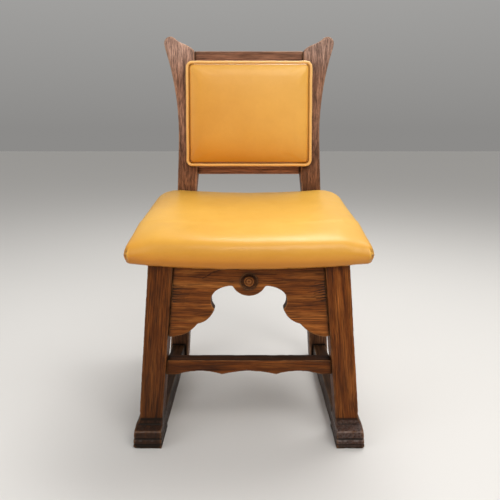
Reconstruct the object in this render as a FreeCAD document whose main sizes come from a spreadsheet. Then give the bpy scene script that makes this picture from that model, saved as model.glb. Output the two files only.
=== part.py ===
import FreeCAD, Part
import math
import os
import re
import Sketcher

# A wainscot chair: splayed oak front legs with carved feet, horned back posts, a cusped front apron
# with a turned boss, floor runners, and a leather seat and back pad.
# X runs to the sitter's left and right, the front faces -Y, +Z is up, the origin is on the floor
# under the middle of the chair. "Depth" values are measured back from the front of the feet.

# Driving sizes, in millimetres and degrees. Names ending in share or shares are plain ratios.
# Everything across the chair is set out from half the seat pad's width.
SIZES = {
    # Seat pad
    "pad_front_half": 235.5,
    "pad_overhang": 16.0,
    "pad_bow": 21.0,
    "pad_rear_gap": 2.0,
    "pad_front_radius": 15.0,
    "pad_rear_radius": 50.0,
    "pad_height": 96.0,
    "pad_side_height": 39.5,
    "pad_tilt": 5.7,
    "pad_crown": 17.5,
    "seat_board_thick": 12.0,
    "leather_thick": 2.0,
    "soft_gap": 0.3,
    "hem_thick": 1.6,
    "hem_gap": 3.0,
    "tack_radius": 4.5,
    "tack_dome": 1.8,
    "tack_pin_radius": 1.0,
    "tack_pin_length": 9.0,
    # Front legs and their feet
    "frame_height": 377.5,
    "leg_setback": 18.0,
    "leg_depth": 50.0,
    "pad_side_overhang": 41.5,
    "leg_top_width": 48.2,
    "ankle_splay": 25.4,
    "ankle_height": 69.5,
    "foot_inner_splay": 28.6,
    "foot_inner_height": 60.0,
    "foot_splay": 37.0,
    "foot_taper": 3.4,
    "foot_height": 42.0,
    "foot_front_height": 37.0,
    "foot_bevel": 4.0,
    "foot_scoop_share": 0.22,
    "foot_heel": 10.0,
    "groove_low": 10.0,
    "groove_high": 21.0,
    "groove_width": 3.0,
    "groove_cut": 2.0,
    # Back posts, set out from their waist above the seat
    "post_setback": 394.0,
    "post_depth": 45.0,
    "post_height": 863.0,
    "post_seat_share": 0.1823,
    "waist_share": 0.2688,
    "waist_inset": 51.5,
    "waist_width": 49.7,
    "seat_outer_flare": 3.3,
    "seat_inner_flare": 4.3,
    "floor_outer_flare": 33.0,
    "floor_inner_flare": 33.5,
    "top_drop": 34.5,
    "top_inner_flare": 6.2,
    "horn_start_share": 0.2746,
    "horn_start_inset": 1.0,
    "horn_flare": 33.8,
    "rake_start_share": 0.1287,
    "rake_angle": 4.5,
    # Floor runners
    "runner_inset": 1.6,
    "runner_width": 33.0,
    "runner_height": 45.0,
    # Front apron and its boss
    "apron_thick": 24.0,
    "apron_recess": 7.0,
    "apron_drop": 152.7,
    "boss_radius": 15.4,
    "boss_drop": 39.7,
    "boss_seat": 4.0,
    "boss_proud": 1.6,
    "boss_cove": 1.9,
    # Rails and stretcher
    "stretcher_recess": 12.0,
    "stretcher_thick": 27.0,
    "stretcher_gap": 51.8,
    "stretcher_height": 30.2,
    "stretcher_arch": 7.0,
    "seat_rail_height": 60.0,
    "seat_rail_thick": 24.0,
    "side_rail_inset": 7.5,
    "rear_rail_recess": 6.0,
    "back_rail_thick": 25.0,
    "back_rail_recess": 9.0,
    "crest_height": 56.0,
    "lower_rail_share": 0.1887,
    "lower_rail_height": 46.0,
    # Mortise and tenon joints
    "tenon_thick": 10.0,
    "tenon_length": 24.0,
    "tenon_shoulder": 9.0,
    "stub_length": 22.0,
    "joint_clearance": 0.2,
    # Corner blocks and the screws
    "block_reach": 52.0,
    "block_height": 35.0,
    "block_notch_gap": 0.6,
    "screw_radius": 2.2,
    "screw_head_radius": 4.4,
    "screw_head_height": 2.6,
    "block_screw_length": 32.0,
    "seat_screw_length": 42.0,
    "back_screw_length": 34.0,
    "rail_bite": 12.0,
    "back_bite": 7.0,
    "hole_clearance": 0.15,
    "countersink_gap": 0.3,
    # Back pad, measured up the raked posts from the rake start
    "lower_rail_show": 20.0,
    "crest_show": 32.4,
    "back_lap": 24.9,
    "back_corner": 12.0,
    "back_lining": 1.5,
    "back_board_thick": 9.0,
    "back_box_depth": 26.0,
    "back_box_inset": 1.5,
    "back_crown": 12.0,
    "piping_radius": 3.5,
    # Saw-cut overrun past a face
    "overrun": 5.0,
}

# Worked-out places, as formulas of the sizes above
PLACES = {
    "leg_top_outer": "pad_front_half - pad_side_overhang",
    "leg_top_inner": "leg_top_outer - leg_top_width",
    "ankle_outer": "leg_top_outer + ankle_splay",
    "foot_inner": "leg_top_inner + foot_inner_splay",
    "foot_outer": "leg_top_outer + foot_splay",
    "foot_top_outer": "foot_outer - foot_taper",
    "post_waist_outer": "pad_front_half - waist_inset",
    "post_waist_inner": "post_waist_outer - waist_width",
    "post_seat_outer": "post_waist_outer + seat_outer_flare",
    "post_seat_inner": "post_waist_inner + seat_inner_flare",
    "post_floor_outer": "post_waist_outer + floor_outer_flare",
    "post_floor_inner": "post_waist_inner + floor_inner_flare",
    "post_top_inner": "post_waist_inner + top_inner_flare",
    "horn_start_outer": "post_waist_outer - horn_start_inset",
    "horn_reach": "post_waist_outer + horn_flare",
    "post_rise": "post_height - frame_height",
    "post_seat_level": "frame_height + post_seat_share * post_rise",
    "post_waist_level": "frame_height + waist_share * post_rise",
    "post_top_level": "post_height - top_drop",
    "horn_start_level": "post_waist_level + horn_start_share * (post_height - post_waist_level)",
    "rake_start": "frame_height + rake_start_share * post_rise",
    "rake_run": "(post_height - rake_start) * tan(rake_angle)",
    "runner_inner": "foot_inner + runner_inset",
    "runner_outer": "runner_inner + runner_width",
    "side_rail_inner": "leg_top_inner + side_rail_inset",
    "side_rail_outer": "side_rail_inner + seat_rail_thick",
    "overall_depth": "pad_overhang + post_setback + post_depth + rake_run",
    "foot_front": "pad_overhang - overall_depth / 2",
    "leg_front": "foot_front + leg_setback",
    "leg_back": "leg_front + leg_depth",
    "foot_back": "leg_back + foot_heel",
    "post_front": "foot_front + post_setback",
    "post_back": "post_front + post_depth",
    "leg_slope": "(foot_inner - leg_top_inner) / (frame_height - foot_inner_height)",
    "post_low_slope": "(post_floor_inner - post_seat_inner) / post_seat_level",
    "post_high_slope": "(post_top_inner - post_waist_inner) / (post_top_level - post_waist_level)",
    "apron_front": "leg_front + apron_recess",
    "apron_back": "apron_front + apron_thick",
    "apron_low": "frame_height - apron_drop",
    "boss_level": "frame_height - boss_drop",
    "stretcher_front": "leg_front + stretcher_recess",
    "stretcher_top": "apron_low - stretcher_gap",
    "stretcher_low": "stretcher_top - stretcher_height",
    "rail_low": "frame_height - seat_rail_height",
    "rear_rail_front": "post_front + rear_rail_recess",
    "rail_tenon_top": "frame_height - tenon_shoulder",
    "rail_tenon_low": "rail_low + tenon_shoulder",
    "leg_tenon_tip": "leg_top_inner + tenon_length",
    "stretcher_tenon_tip": "leg_top_inner + leg_slope * (frame_height - stretcher_top) + tenon_length",
    "post_tenon_tip": "post_seat_inner + post_low_slope * (post_seat_level - rail_low) + tenon_length",
    "back_tenon_tip": "post_top_inner + tenon_length",
    "side_tenon_inner": "side_rail_inner + (seat_rail_thick - tenon_thick) / 2",
    "side_tenon_outer": "side_tenon_inner + tenon_thick",
    "runner_tenon_inner": "(runner_inner + runner_outer - tenon_thick) / 2",
    "runner_tenon_outer": "runner_tenon_inner + tenon_thick",
    "crest_high": "(post_top_level - rake_start) / cos(rake_angle)",
    "crest_low": "crest_high - crest_height",
    "lower_rail_bottom": "lower_rail_share * crest_high",
    "lower_rail_high": "lower_rail_bottom + lower_rail_height",
    "block_low": "frame_height - block_height",
    "block_middle": "frame_height - block_height / 2",
    "pad_front": "-overall_depth / 2 + pad_bow",
    "pad_back": "post_front - pad_rear_gap",
    "board_top": "frame_height + seat_board_thick",
    "hem_low": "frame_height - hem_thick",
    "hem_window_half": "leg_top_outer + hem_gap",
    "back_low": "lower_rail_bottom + lower_rail_show",
    "back_high": "crest_high - crest_show",
    "back_half": "post_waist_inner + back_lap",
    "board_front": "back_lining + back_board_thick",
    "piping_line": "back_box_depth + soft_gap + piping_radius",
}

doc = FreeCAD.newDocument("wainscot_chair")


# Sizes and places, each kept under its own name
def fill_sheet(name, cells):
    sheet = doc.addObject("Spreadsheet::Sheet", name)
    for row, (alias, content) in enumerate(cells, start=1):
        sheet.set(f"A{row}", alias)
        sheet.set(f"B{row}", content)
        sheet.setAlias(f"B{row}", alias)
    doc.recompute()
    return sheet


def formula(text):
    """A formula of plain names, with each name pointed at its size or place."""
    def point(found):
        word = found[0]
        if word in SIZES:
            return f"sizes.{word}"
        return f"places.{word}" if word in PLACES else word
    return re.sub(r"[a-z][a-z_]*", point, str(text))


sizes_sheet = fill_sheet("sizes", [(name, str(size)) for name, size in SIZES.items()])
places_sheet = fill_sheet("places", [(name, "=" + formula(text)) for name, text in PLACES.items()])


def size(text):
    """The present value of a formula."""
    return float(places_sheet.evalExpression(formula(text)))


# Outlines: each is a ring of corners (across, up) or (across, up, side, bulge share).
# The bulge share is an arc's rise over half its chord, on the named side of the way to the next corner.
QUARTER_SHARE = math.tan(math.radians(22.5))
PLANES = {"front": "XZ_Plane", "side": "YZ_Plane", "plan": "XY_Plane"}


def sketch_on(body, name, plane, start):
    sketch = body.newObject("Sketcher::SketchObject", name)
    planes = body.Origin.OriginFeatures
    sketch.AttachmentSupport = [(next(p for p in planes if p.Role == PLANES[plane]), "")]
    sketch.MapMode = "FlatFace"
    turn = "-1 * " if plane == "front" else ""
    sketch.setExpression("AttachmentOffset.Base.z", formula(f"{turn}({start})"))
    return sketch


def draw(sketch, corners):
    """One closed outline, its corners and arcs tied to the sizes."""
    ring = []
    for here, ahead in zip(corners, corners[1:] + corners[:1]):
        start = FreeCAD.Vector(size(here[0]), size(here[1]), 0)
        end = FreeCAD.Vector(size(ahead[0]), size(ahead[1]), 0)
        if len(here) == 2:
            edge = sketch.addGeometry(Part.LineSegment(start, end), False)
            ring.append((edge, 1, 2))
            continue
        side, share = here[2], f"({here[3]})"
        chord = end - start
        outward = FreeCAD.Vector(chord.y, -chord.x, 0) * (0.5 if side == "right" else -0.5)
        middle = (start + end) * 0.5 + outward * size(share)
        edge = sketch.addGeometry(Part.Arc(start, middle, end), False)
        ring.append((edge, 1, 2) if side == "right" else (edge, 2, 1))
        across = f"(({ahead[0]}) - ({here[0]}))"
        up = f"(({ahead[1]}) - ({here[1]}))"
        factor = f"(1 + {share} ^ 2) / (4 * {share})"
        radius = sketch.addConstraint(
            Sketcher.Constraint("Radius", edge, chord.Length * size(factor)))
        sketch.setExpression(
            f"Constraints[{radius}]", formula(f"{factor} * sqrt({across} ^ 2 + {up} ^ 2)"))
    for (edge, _, head), (following, tail, _) in zip(ring, ring[1:] + ring[:1]):
        sketch.addConstraint(Sketcher.Constraint("Coincident", edge, head, following, tail))
    for (edge, tail, _), corner in zip(ring, corners):
        for kind, text in (("DistanceX", corner[0]), ("DistanceY", corner[1])):
            index = sketch.addConstraint(Sketcher.Constraint(kind, edge, tail, size(text)))
            sketch.setExpression(f"Constraints[{index}]", formula(text))


def rectangle(across_0, up_0, across_1, up_1):
    return [(across_0, up_0), (across_1, up_0), (across_1, up_1), (across_0, up_1)]


def stepped(corners, steps):
    """The same outline with each arc taken in straight steps, as a padded form is cut."""
    outline = []
    for here, ahead in zip(corners, corners[1:] + corners[:1]):
        outline.append(here[:2])
        if len(here) == 2:
            continue
        half_turn = 2 * math.atan(size(here[3]))
        across, up = f"(({ahead[0]}) - ({here[0]}))", f"(({ahead[1]}) - ({here[1]}))"
        sign = 1 if here[2] == "right" else -1
        for step in range(1, steps):
            angle = half_turn * (2 * step / steps - 1)
            along_share = 0.5 + math.sin(angle) / (2 * math.sin(half_turn))
            rise_share = sign * (math.cos(angle) - math.cos(half_turn)) / (2 * math.sin(half_turn))
            outline.append((f"({here[0]}) + {along_share:.6f} * {across} + ({rise_share:.6f}) * {up}",
                            f"({here[1]}) + {along_share:.6f} * {up} - ({rise_share:.6f}) * {across}"))
    return outline


def mirrored(corners, side):
    """The same outline on the left (-1) or the right (1)."""
    if side > 0:
        return corners
    other = {"left": "right", "right": "left"}
    return [(f"-({c[0]})", c[1]) if len(c) == 2 else (f"-({c[0]})", c[1], other[c[2]], c[3])
            for c in corners]


# Bars and cuts, each running from its start along +X, +Y or +Z
def new_body(label):
    body = doc.addObject("PartDesign::Body", label)
    body.Label = label
    return body


def feature(kind, body, name, plane, start, length, *outlines):
    sketch = sketch_on(body, f"{name}_sketch", plane, start)
    for corners in outlines:
        draw(sketch, corners)
    made = body.newObject(f"PartDesign::{kind}", name)
    made.Profile = sketch
    made.setExpression("Length", formula(length))
    made.Reversed = (plane == "front") == (kind == "Pad")
    doc.recompute()
    return made


def pad(body, name, plane, start, length, *outlines):
    return feature("Pad", body, name, plane, start, length, *outlines)


def cut(body, name, plane, start, length, *outlines):
    return feature("Pocket", body, name, plane, start, length, *outlines)


def slot_across(body, name, side, inner, tip, outline):
    """A mortise cut across the chair, from a side's inner face out to its tip."""
    start = inner if side > 0 else f"-({tip})"
    return cut(body, name, "side", start, f"({tip}) - ({inner})", outline)


def raked(out, up):
    """A point by its distance behind the raked post face and up the post, seen from the side."""
    return (f"post_front + ({out}) * cos(rake_angle) + ({up}) * sin(rake_angle)",
            f"rake_start - ({out}) * sin(rake_angle) + ({up}) * cos(rake_angle)")


def raked_rectangle(out_0, up_0, out_1, up_1):
    return [raked(out_0, up_0), raked(out_1, up_0), raked(out_1, up_1), raked(out_0, up_1)]


def leg_inner_at(level):
    return f"(leg_top_inner + leg_slope * (frame_height - ({level})))"


def post_inner_at(level):
    """The inner edge of a back post below the seat."""
    return f"(post_seat_inner + post_low_slope * (post_seat_level - ({level})))"


def post_upper_inner_at(level):
    """The inner edge of a back post beside the back pad."""
    return f"(post_waist_inner + post_high_slope * (({level}) - post_waist_level))"


# Front leg: one splayed piece with its carved foot, mortised for apron, stretcher, rail and runner
def front_leg(label, side):
    body = new_body(label)
    foot = [
        ("foot_inner", "0"),
        ("foot_outer - foot_bevel", "0"),
        ("foot_outer", "foot_bevel"),
        ("foot_top_outer", "foot_height"),
    ]
    leg = foot[:3] + [
        ("foot_top_outer", "foot_height", "left", "foot_scoop_share"),
        ("ankle_outer", "ankle_height"),
        ("leg_top_outer", "frame_height"),
        ("leg_top_inner", "frame_height"),
        ("foot_inner", "foot_inner_height"),
    ]
    pad(body, f"{label}_shaft", "front", "leg_front", "leg_depth", mirrored(leg, side))
    pad(body, f"{label}_foot", "front", "foot_front", "foot_back - foot_front",
        mirrored(foot + [("foot_inner", "foot_height")], side))
    slope = [
        ("foot_front - overrun", "foot_front_height"),
        ("foot_front", "foot_front_height"),
        ("leg_front", "foot_height"),
        ("leg_front", "foot_height + overrun"),
        ("foot_front - overrun", "foot_height + overrun"),
    ]
    heel = [
        ("foot_back + overrun", "foot_front_height"),
        ("foot_back + overrun", "foot_height + overrun"),
        ("leg_back", "foot_height + overrun"),
        ("leg_back", "foot_height"),
        ("foot_back", "foot_front_height"),
    ]
    from_inside = "-foot_outer - overrun" if side < 0 else "foot_inner - overrun"
    across = "foot_outer - foot_inner + 2 * overrun"
    cut(body, f"{label}_foot_slope", "side", from_inside, across, slope, heel)
    for name, level in (("low", "groove_low"), ("high", "groove_high")):
        front_cut = [
            ("foot_front", f"{level} - groove_width / 2"),
            ("foot_front + groove_cut", level),
            ("foot_front", f"{level} + groove_width / 2"),
            ("foot_front - overrun", level),
        ]
        face = f"(foot_outer - (foot_outer - foot_top_outer) * {level} / foot_height)"
        side_cut = [
            (face, f"{level} - groove_width / 2"),
            (f"{face} + overrun", level),
            (face, f"{level} + groove_width / 2"),
            (f"{face} - groove_cut", level),
        ]
        cut(body, f"{label}_{name}_front_groove", "side", from_inside, across, front_cut)
        cut(body, f"{label}_{name}_side_groove", "front", "foot_front - overrun",
            "foot_back - foot_front + 2 * overrun", mirrored(side_cut, side))
    slot_across(body, f"{label}_apron_mortise", side, "leg_top_inner - overrun",
                "leg_tenon_tip + joint_clearance",
                rectangle("apron_front + (apron_thick - tenon_thick) / 2 - joint_clearance",
                          "rail_tenon_low - joint_clearance",
                          "apron_front + (apron_thick + tenon_thick) / 2 + joint_clearance",
                          "rail_tenon_top + joint_clearance"))
    slot_across(body, f"{label}_stretcher_mortise", side, "leg_top_inner - overrun",
                "stretcher_tenon_tip + joint_clearance",
                rectangle("stretcher_front + (stretcher_thick - tenon_thick) / 2 - joint_clearance",
                          "stretcher_low + tenon_shoulder - joint_clearance",
                          "stretcher_front + (stretcher_thick + tenon_thick) / 2 + joint_clearance",
                          "stretcher_top - tenon_shoulder / 2 + joint_clearance"))
    rear_mortises(body, label, side, "leg_back - stub_length - joint_clearance", "foot_back - leg_back")
    return body


def rear_mortises(body, label, side, start, runner_extra):
    """The side rail's mortise and the runner's, cut from a start along the chair."""
    rail = rectangle("side_tenon_inner - joint_clearance", "rail_tenon_low - joint_clearance",
                     "side_tenon_outer + joint_clearance", "rail_tenon_top + joint_clearance")
    runner = rectangle("runner_tenon_inner - joint_clearance", "tenon_shoulder - joint_clearance",
                       "runner_tenon_outer + joint_clearance",
                       "runner_height - tenon_shoulder + joint_clearance")
    length = "stub_length + joint_clearance + overrun"
    cut(body, f"{label}_rail_mortise", "front", start, length, mirrored(rail, side))
    cut(body, f"{label}_runner_mortise", "front", f"{start} + ({runner_extra})", length,
        mirrored(runner, side))


# Back post: sawn from a raked plank to the horned outline, then mortised
HORN_SHARES = {
    "flare": (0.963, 0.884),
    "side": (1.0, 0.936),
    "tip": (0.787, 1.0),
    "neck": (0.653, 0.985),
    "swan": (0.312, 0.925),
}
HORN_BULGE_SHARES = {"start": 0.082, "side": 0.40, "tip": 0.15, "neck": 0.11, "swan": 0.10}


def horn(name):
    """A point of the horn, by shares of its reach past the crest and its rise above the start."""
    reach_share, rise_share = HORN_SHARES[name]
    return (f"post_top_inner + {reach_share} * (horn_reach - post_top_inner)",
            f"horn_start_level + {rise_share} * (post_height - horn_start_level)")


def back_post(label, side):
    body = new_body(label)
    stock_top = "(post_height + overrun)"
    plank = [
        ("post_front", "-overrun"),
        ("post_back", "-overrun"),
        ("post_back", "rake_start"),
        (f"post_back + ({stock_top} - rake_start) * tan(rake_angle)", stock_top),
        (f"post_front + ({stock_top} - rake_start) * tan(rake_angle)", stock_top),
        ("post_front", "rake_start"),
    ]
    start = "post_waist_inner - overrun" if side > 0 else "-horn_reach - overrun"
    pad(body, f"{label}_plank", "side", start,
        "horn_reach - post_waist_inner + 2 * overrun", plank)
    outline = [
        ("post_floor_inner", "0"),
        ("post_floor_outer", "0"),
        ("post_seat_outer", "post_seat_level"),
        ("post_waist_outer", "(post_waist_level + horn_start_level) / 2"),
        ("horn_start_outer", "horn_start_level", "left", HORN_BULGE_SHARES["start"]),
        horn("flare"),
        (*horn("side"), "right", HORN_BULGE_SHARES["side"]),
        (*horn("tip"), "right", HORN_BULGE_SHARES["tip"]),
        (*horn("neck"), "left", HORN_BULGE_SHARES["neck"]),
        (*horn("swan"), "right", HORN_BULGE_SHARES["swan"]),
        ("post_top_inner", "post_top_level"),
        ("post_waist_inner", "post_waist_level"),
        ("post_seat_inner", "post_seat_level"),
    ]
    waste = rectangle("post_waist_inner - 2 * overrun", "-2 * overrun",
                      "horn_reach + 2 * overrun", "post_height + 2 * overrun")
    cut(body, f"{label}_saw_cut", "front", "post_front - overrun",
        "post_depth + rake_run + 3 * overrun", mirrored(waste, side), mirrored(outline, side))
    slot_across(body, f"{label}_rear_rail_mortise", side, "post_waist_inner - overrun",
                "post_tenon_tip + joint_clearance",
                rectangle("rear_rail_front + (seat_rail_thick - tenon_thick) / 2 - joint_clearance",
                          "rail_tenon_low - joint_clearance",
                          "rear_rail_front + (seat_rail_thick + tenon_thick) / 2 + joint_clearance",
                          "rail_tenon_top + joint_clearance"))
    middle, half = "back_rail_recess + back_rail_thick / 2", "(tenon_thick / 2 + joint_clearance)"
    for rail, low, high in (("crest", "crest_low", "crest_high"),
                            ("lower", "lower_rail_bottom", "lower_rail_high")):
        slot_across(body, f"{label}_{rail}_mortise", side, "post_waist_inner - overrun",
                    "back_tenon_tip + joint_clearance",
                    raked_rectangle(f"{middle} - {half}", f"{low} + tenon_shoulder - joint_clearance",
                                    f"{middle} + {half}", f"{high} - tenon_shoulder + joint_clearance"))
    rear_mortises(body, label, side, "post_front - overrun", "0")
    return body


# Straight members between the legs and posts
def side_runner(label, side):
    body = new_body(label)
    pad(body, f"{label}_bar", "front", "foot_back", "post_front - foot_back",
        mirrored(rectangle("runner_inner", "0", "runner_outer", "runner_height"), side))
    pad(body, f"{label}_tenons", "front", "foot_back - stub_length",
        "post_front - foot_back + 2 * stub_length",
        mirrored(rectangle("runner_tenon_inner", "tenon_shoulder",
                           "runner_tenon_outer", "runner_height - tenon_shoulder"), side))
    return body


def side_rail(label, side):
    body = new_body(label)
    pad(body, f"{label}_bar", "front", "leg_back", "post_front - leg_back",
        mirrored(rectangle("side_rail_inner", "rail_low", "side_rail_outer", "frame_height"), side))
    pad(body, f"{label}_tenons", "front", "leg_back - stub_length",
        "post_front - leg_back + 2 * stub_length",
        mirrored(rectangle("side_tenon_inner", "rail_tenon_low",
                           "side_tenon_outer", "rail_tenon_top"), side))
    return body


def across_tenon(body, name, front, thick, low, high, tip):
    middle = f"(({front}) + ({thick}) / 2)"
    pad(body, name, "side", f"-({tip})", f"2 * ({tip})",
        rectangle(f"{middle} - tenon_thick / 2", low, f"{middle} + tenon_thick / 2", high))


def front_apron(label):
    """The cusped apron: its carved edge is a chain of arcs from each leg to the middle pendant."""
    body = new_body(label)
    half = leg_inner_at("apron_low")
    edge_shares = [
        (1.0, 1.0, "right", 0.27),
        (0.636, 0.829, "right", 0.26),
        (0.432, 0.655, "right", 0.50),
        (0.430, 0.617, "left", 0.46),
        (0.388, 0.377, "left", 0.14),
        (0.2015, 0.321, "right", 0.64),
    ]
    corners = [(f"-{across} * {half}", f"frame_height - {drop} * apron_drop", way, bulge)
               for across, drop, way, bulge in edge_shares]
    for here, before in zip(edge_shares[::-1], edge_shares[-2::-1]):
        corners.append((f"{here[0]} * {half}", f"frame_height - {here[1]} * apron_drop",
                        before[2], before[3]))
    corners.append((half, "apron_low"))
    corners.append(("leg_top_inner", "frame_height"))
    corners.append(("-leg_top_inner", "frame_height"))
    pad(body, f"{label}_board", "front", "apron_front", "apron_thick", corners)
    across_tenon(body, f"{label}_tenons", "apron_front", "apron_thick",
                 "rail_tenon_low", "rail_tenon_top", "leg_tenon_tip")
    sketch = sketch_on(body, f"{label}_boss_seat_sketch", "front", "apron_front")
    draw_circle(sketch, "0", "boss_level", "boss_radius + joint_clearance")
    seat = body.newObject("PartDesign::Pocket", f"{label}_boss_seat")
    seat.Profile = sketch
    seat.setExpression("Length", formula("boss_seat"))
    doc.recompute()
    return body


def draw_circle(sketch, across, up, radius):
    centre = FreeCAD.Vector(size(across), size(up), 0)
    ring = sketch.addGeometry(Part.Circle(centre, FreeCAD.Vector(0, 0, 1), size(radius)), False)
    for kind, place, text in (("DistanceX", (ring, 3), across), ("DistanceY", (ring, 3), up),
                              ("Radius", (ring,), radius)):
        index = sketch.addConstraint(Sketcher.Constraint(kind, *place, size(text)))
        sketch.setExpression(f"Constraints[{index}]", formula(text))


BOSS_SHARES = {"cove": 0.78, "ring_outer": 0.54, "ring_inner": 0.42, "dip": 0.30}


def boss_at(name):
    return f"{BOSS_SHARES[name]} * boss_radius"


def apron_boss(label):
    """A turned boss let into the apron: sunk cove, raised ring and a button."""
    body = new_body(label)
    sketch = sketch_on(body, f"{label}_profile", "side", "0")
    sketch.setExpression("AttachmentOffset.Base.y", formula("boss_level"))
    face, cove = "(apron_front - boss_proud)", "(apron_front + boss_cove)"
    draw(sketch, [
        ("apron_front + boss_seat", "0"),
        ("apron_front + boss_seat", "boss_radius"),
        ("apron_front", "boss_radius"),
        (cove, boss_at("cove")),
        (face, boss_at("ring_outer")),
        (face, boss_at("ring_inner")),
        ("apron_front", boss_at("dip")),
        (face, "0"),
    ])
    turned = body.newObject("PartDesign::Revolution", f"{label}_turning")
    turned.Profile = sketch
    turned.ReferenceAxis = (sketch, ["H_Axis"])
    turned.Angle = 360
    doc.recompute()
    return body


def front_stretcher(label):
    """The low front stretcher, its underside cut in three shallow arches."""
    body = new_body(label)
    half = leg_inner_at("stretcher_low")
    end_share, drop_share = 0.86, 0.325
    side_bulge = f"stretcher_arch / ({(end_share - drop_share) / 2} * {half})"
    middle_bulge = f"stretcher_arch / ({drop_share} * {half})"
    low, top = "stretcher_low", "stretcher_top"
    pad(body, f"{label}_bar", "front", "stretcher_front", "stretcher_thick", [
        (f"-{half}", low),
        (f"-{end_share} * {half}", low, "left", side_bulge),
        (f"-{drop_share} * {half}", low, "left", middle_bulge),
        (f"{drop_share} * {half}", low, "left", side_bulge),
        (f"{end_share} * {half}", low),
        (half, low),
        (leg_inner_at(top), top),
        (f"-{leg_inner_at(top)}", top),
    ])
    across_tenon(body, f"{label}_tenons", "stretcher_front", "stretcher_thick",
                 "stretcher_low + tenon_shoulder", "stretcher_top - tenon_shoulder / 2",
                 "stretcher_tenon_tip")
    return body


def rear_rail(label):
    body = new_body(label)
    low, top = post_inner_at("rail_low"), post_inner_at("frame_height")
    pad(body, f"{label}_bar", "front", "rear_rail_front", "seat_rail_thick",
        [(f"-{low}", "rail_low"), (low, "rail_low"), (top, "frame_height"), (f"-{top}", "frame_height")])
    across_tenon(body, f"{label}_tenons", "rear_rail_front", "seat_rail_thick",
                 "rail_tenon_low", "rail_tenon_top", "post_tenon_tip")
    return body


def back_rail(label, low, high):
    """A rail between the raked posts, its shoulders sawn to the posts' inner edges."""
    body = new_body(label)
    stock = "(post_top_inner + overrun)"
    pad(body, f"{label}_bar", "side", f"-{stock}", f"2 * {stock}",
        raked_rectangle("back_rail_recess", low, "back_rail_recess + back_rail_thick", high))
    under, over = "(post_waist_level - 3 * overrun)", "(post_height)"
    waste = [
        (post_upper_inner_at(under), under),
        (f"{stock} + overrun", under),
        (f"{stock} + overrun", over),
        (post_upper_inner_at(over), over),
    ]
    cut(body, f"{label}_shoulders", "front", "post_front - overrun",
        "post_depth + rake_run + 3 * overrun", waste, mirrored(waste, -1))
    middle = "back_rail_recess + back_rail_thick / 2"
    pad(body, f"{label}_tenons", "side", "-back_tenon_tip", "2 * back_tenon_tip",
        raked_rectangle(f"{middle} - tenon_thick / 2", f"{low} + tenon_shoulder",
                        f"{middle} + tenon_thick / 2", f"{high} - tenon_shoulder"))
    return body


# Corner blocks that brace the seat frame and carry the seat screws
def corner_block(label, side, at_front):
    body = new_body(label)
    if at_front:
        inner, rail_face = "(leg_top_inner - block_notch_gap)", "apron_back"
        notch, far = "leg_back + block_notch_gap", "leg_back + block_reach"
    else:
        inner = f"({post_inner_at('frame_height')} - block_notch_gap)"
        rail_face = "rear_rail_front"
        notch, far = "post_front - block_notch_gap", "post_front - block_reach"
    plan = [
        (f"{inner} - block_reach", rail_face),
        (inner, rail_face),
        (inner, notch),
        ("side_rail_inner", notch),
        ("side_rail_inner", far),
    ]
    pad(body, f"{label}_block", "plan", "block_low", "block_height", mirrored(plan, side))
    return body


# Fasteners, each set in its own drilled hole
FASTENER_SIDES = 8
SCREW_POINT_SHARE = 2.0
SCREW_TIP_SHARE = 0.25
TACK_CROWN_SHARE = 0.5
BLOCK_SCREW_SHARES = {"front": (0.48, 0.20), "rear": (0.66, 0.38)}
SEAT_SCREW_SHARE = 0.3
BACK_SCREW_SHARES = (0.2, 0.8)
FRONT_TACK_SHARES = (-0.76, -0.38, 0.0, 0.38, 0.76)
TACKS_EACH_SIDE = 6
UNCUT_SHARE = 0.9999999


def bar(seat, way, length, radius, tip_radius):
    """An eight-sided bar along way, from its radius at seat to its tip radius."""
    turn = FreeCAD.Rotation(FreeCAD.Vector(0, 0, 1), way)
    rings = []
    for centre, reach in ((seat, radius), (seat + way * length, tip_radius)):
        corners = []
        for number in range(FASTENER_SIDES + 1):
            angle = 2 * math.pi * number / FASTENER_SIDES
            spoke = FreeCAD.Vector(math.cos(angle), math.sin(angle), 0)
            corners.append(centre + turn.multVec(spoke) * reach)
        rings.append(Part.makePolygon(corners))
    return Part.makeLoft(rings, True, True)


def screw_and_hole(seat, way, length):
    """A pan-head screw whose head bears at seat, pointing along way, and the hole for it."""
    radius, head = size("screw_radius"), size("screw_head_radius")
    gap, rise = size("hole_clearance"), size("screw_head_height")
    point = SCREW_POINT_SHARE * radius
    shank = bar(seat, way, length - point, radius, radius)
    tip = bar(seat + way * (length - point), way, point, radius, SCREW_TIP_SHARE * radius)
    cap = bar(seat - way * rise, way, rise, head, head)
    screw = shank.fuse([tip, cap]).removeSplitter()
    bore = bar(seat, way, length + gap, radius + gap, radius + gap)
    mouth, reach = head + size("countersink_gap"), size("block_reach")
    sink = bar(seat - way * reach, way, reach, mouth, mouth)
    return screw, bore.fuse(sink)


def tack_and_hole(place):
    """A domed tack driven up through the leather's hem into the seat board."""
    up = FreeCAD.Vector(0, 0, 1)
    head, dome = size("tack_radius"), size("tack_dome")
    pin, length = size("tack_pin_radius"), size("tack_pin_length")
    cap = bar(place - up * dome, up, dome, TACK_CROWN_SHARE * head, head)
    shaft = bar(place, up, length, pin, TACK_CROWN_SHARE * pin)
    gap = size("hole_clearance")
    return cap.fuse(shaft), bar(place, up, length + gap, pin + gap, pin + gap)


def group(label, shapes):
    made = doc.addObject("Part::Feature", label)
    made.Label = label
    made.Shape = Part.makeCompound(shapes)
    return made


def drilled(label, piece, holes):
    """The piece with its fasteners' holes taken out."""
    made = doc.addObject("Part::Cut", f"{label}_drilled")
    made.Base = piece
    made.Tool = holes
    piece.Label = f"{label}_undrilled"
    made.Label = label
    doc.recompute()
    return made


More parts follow.
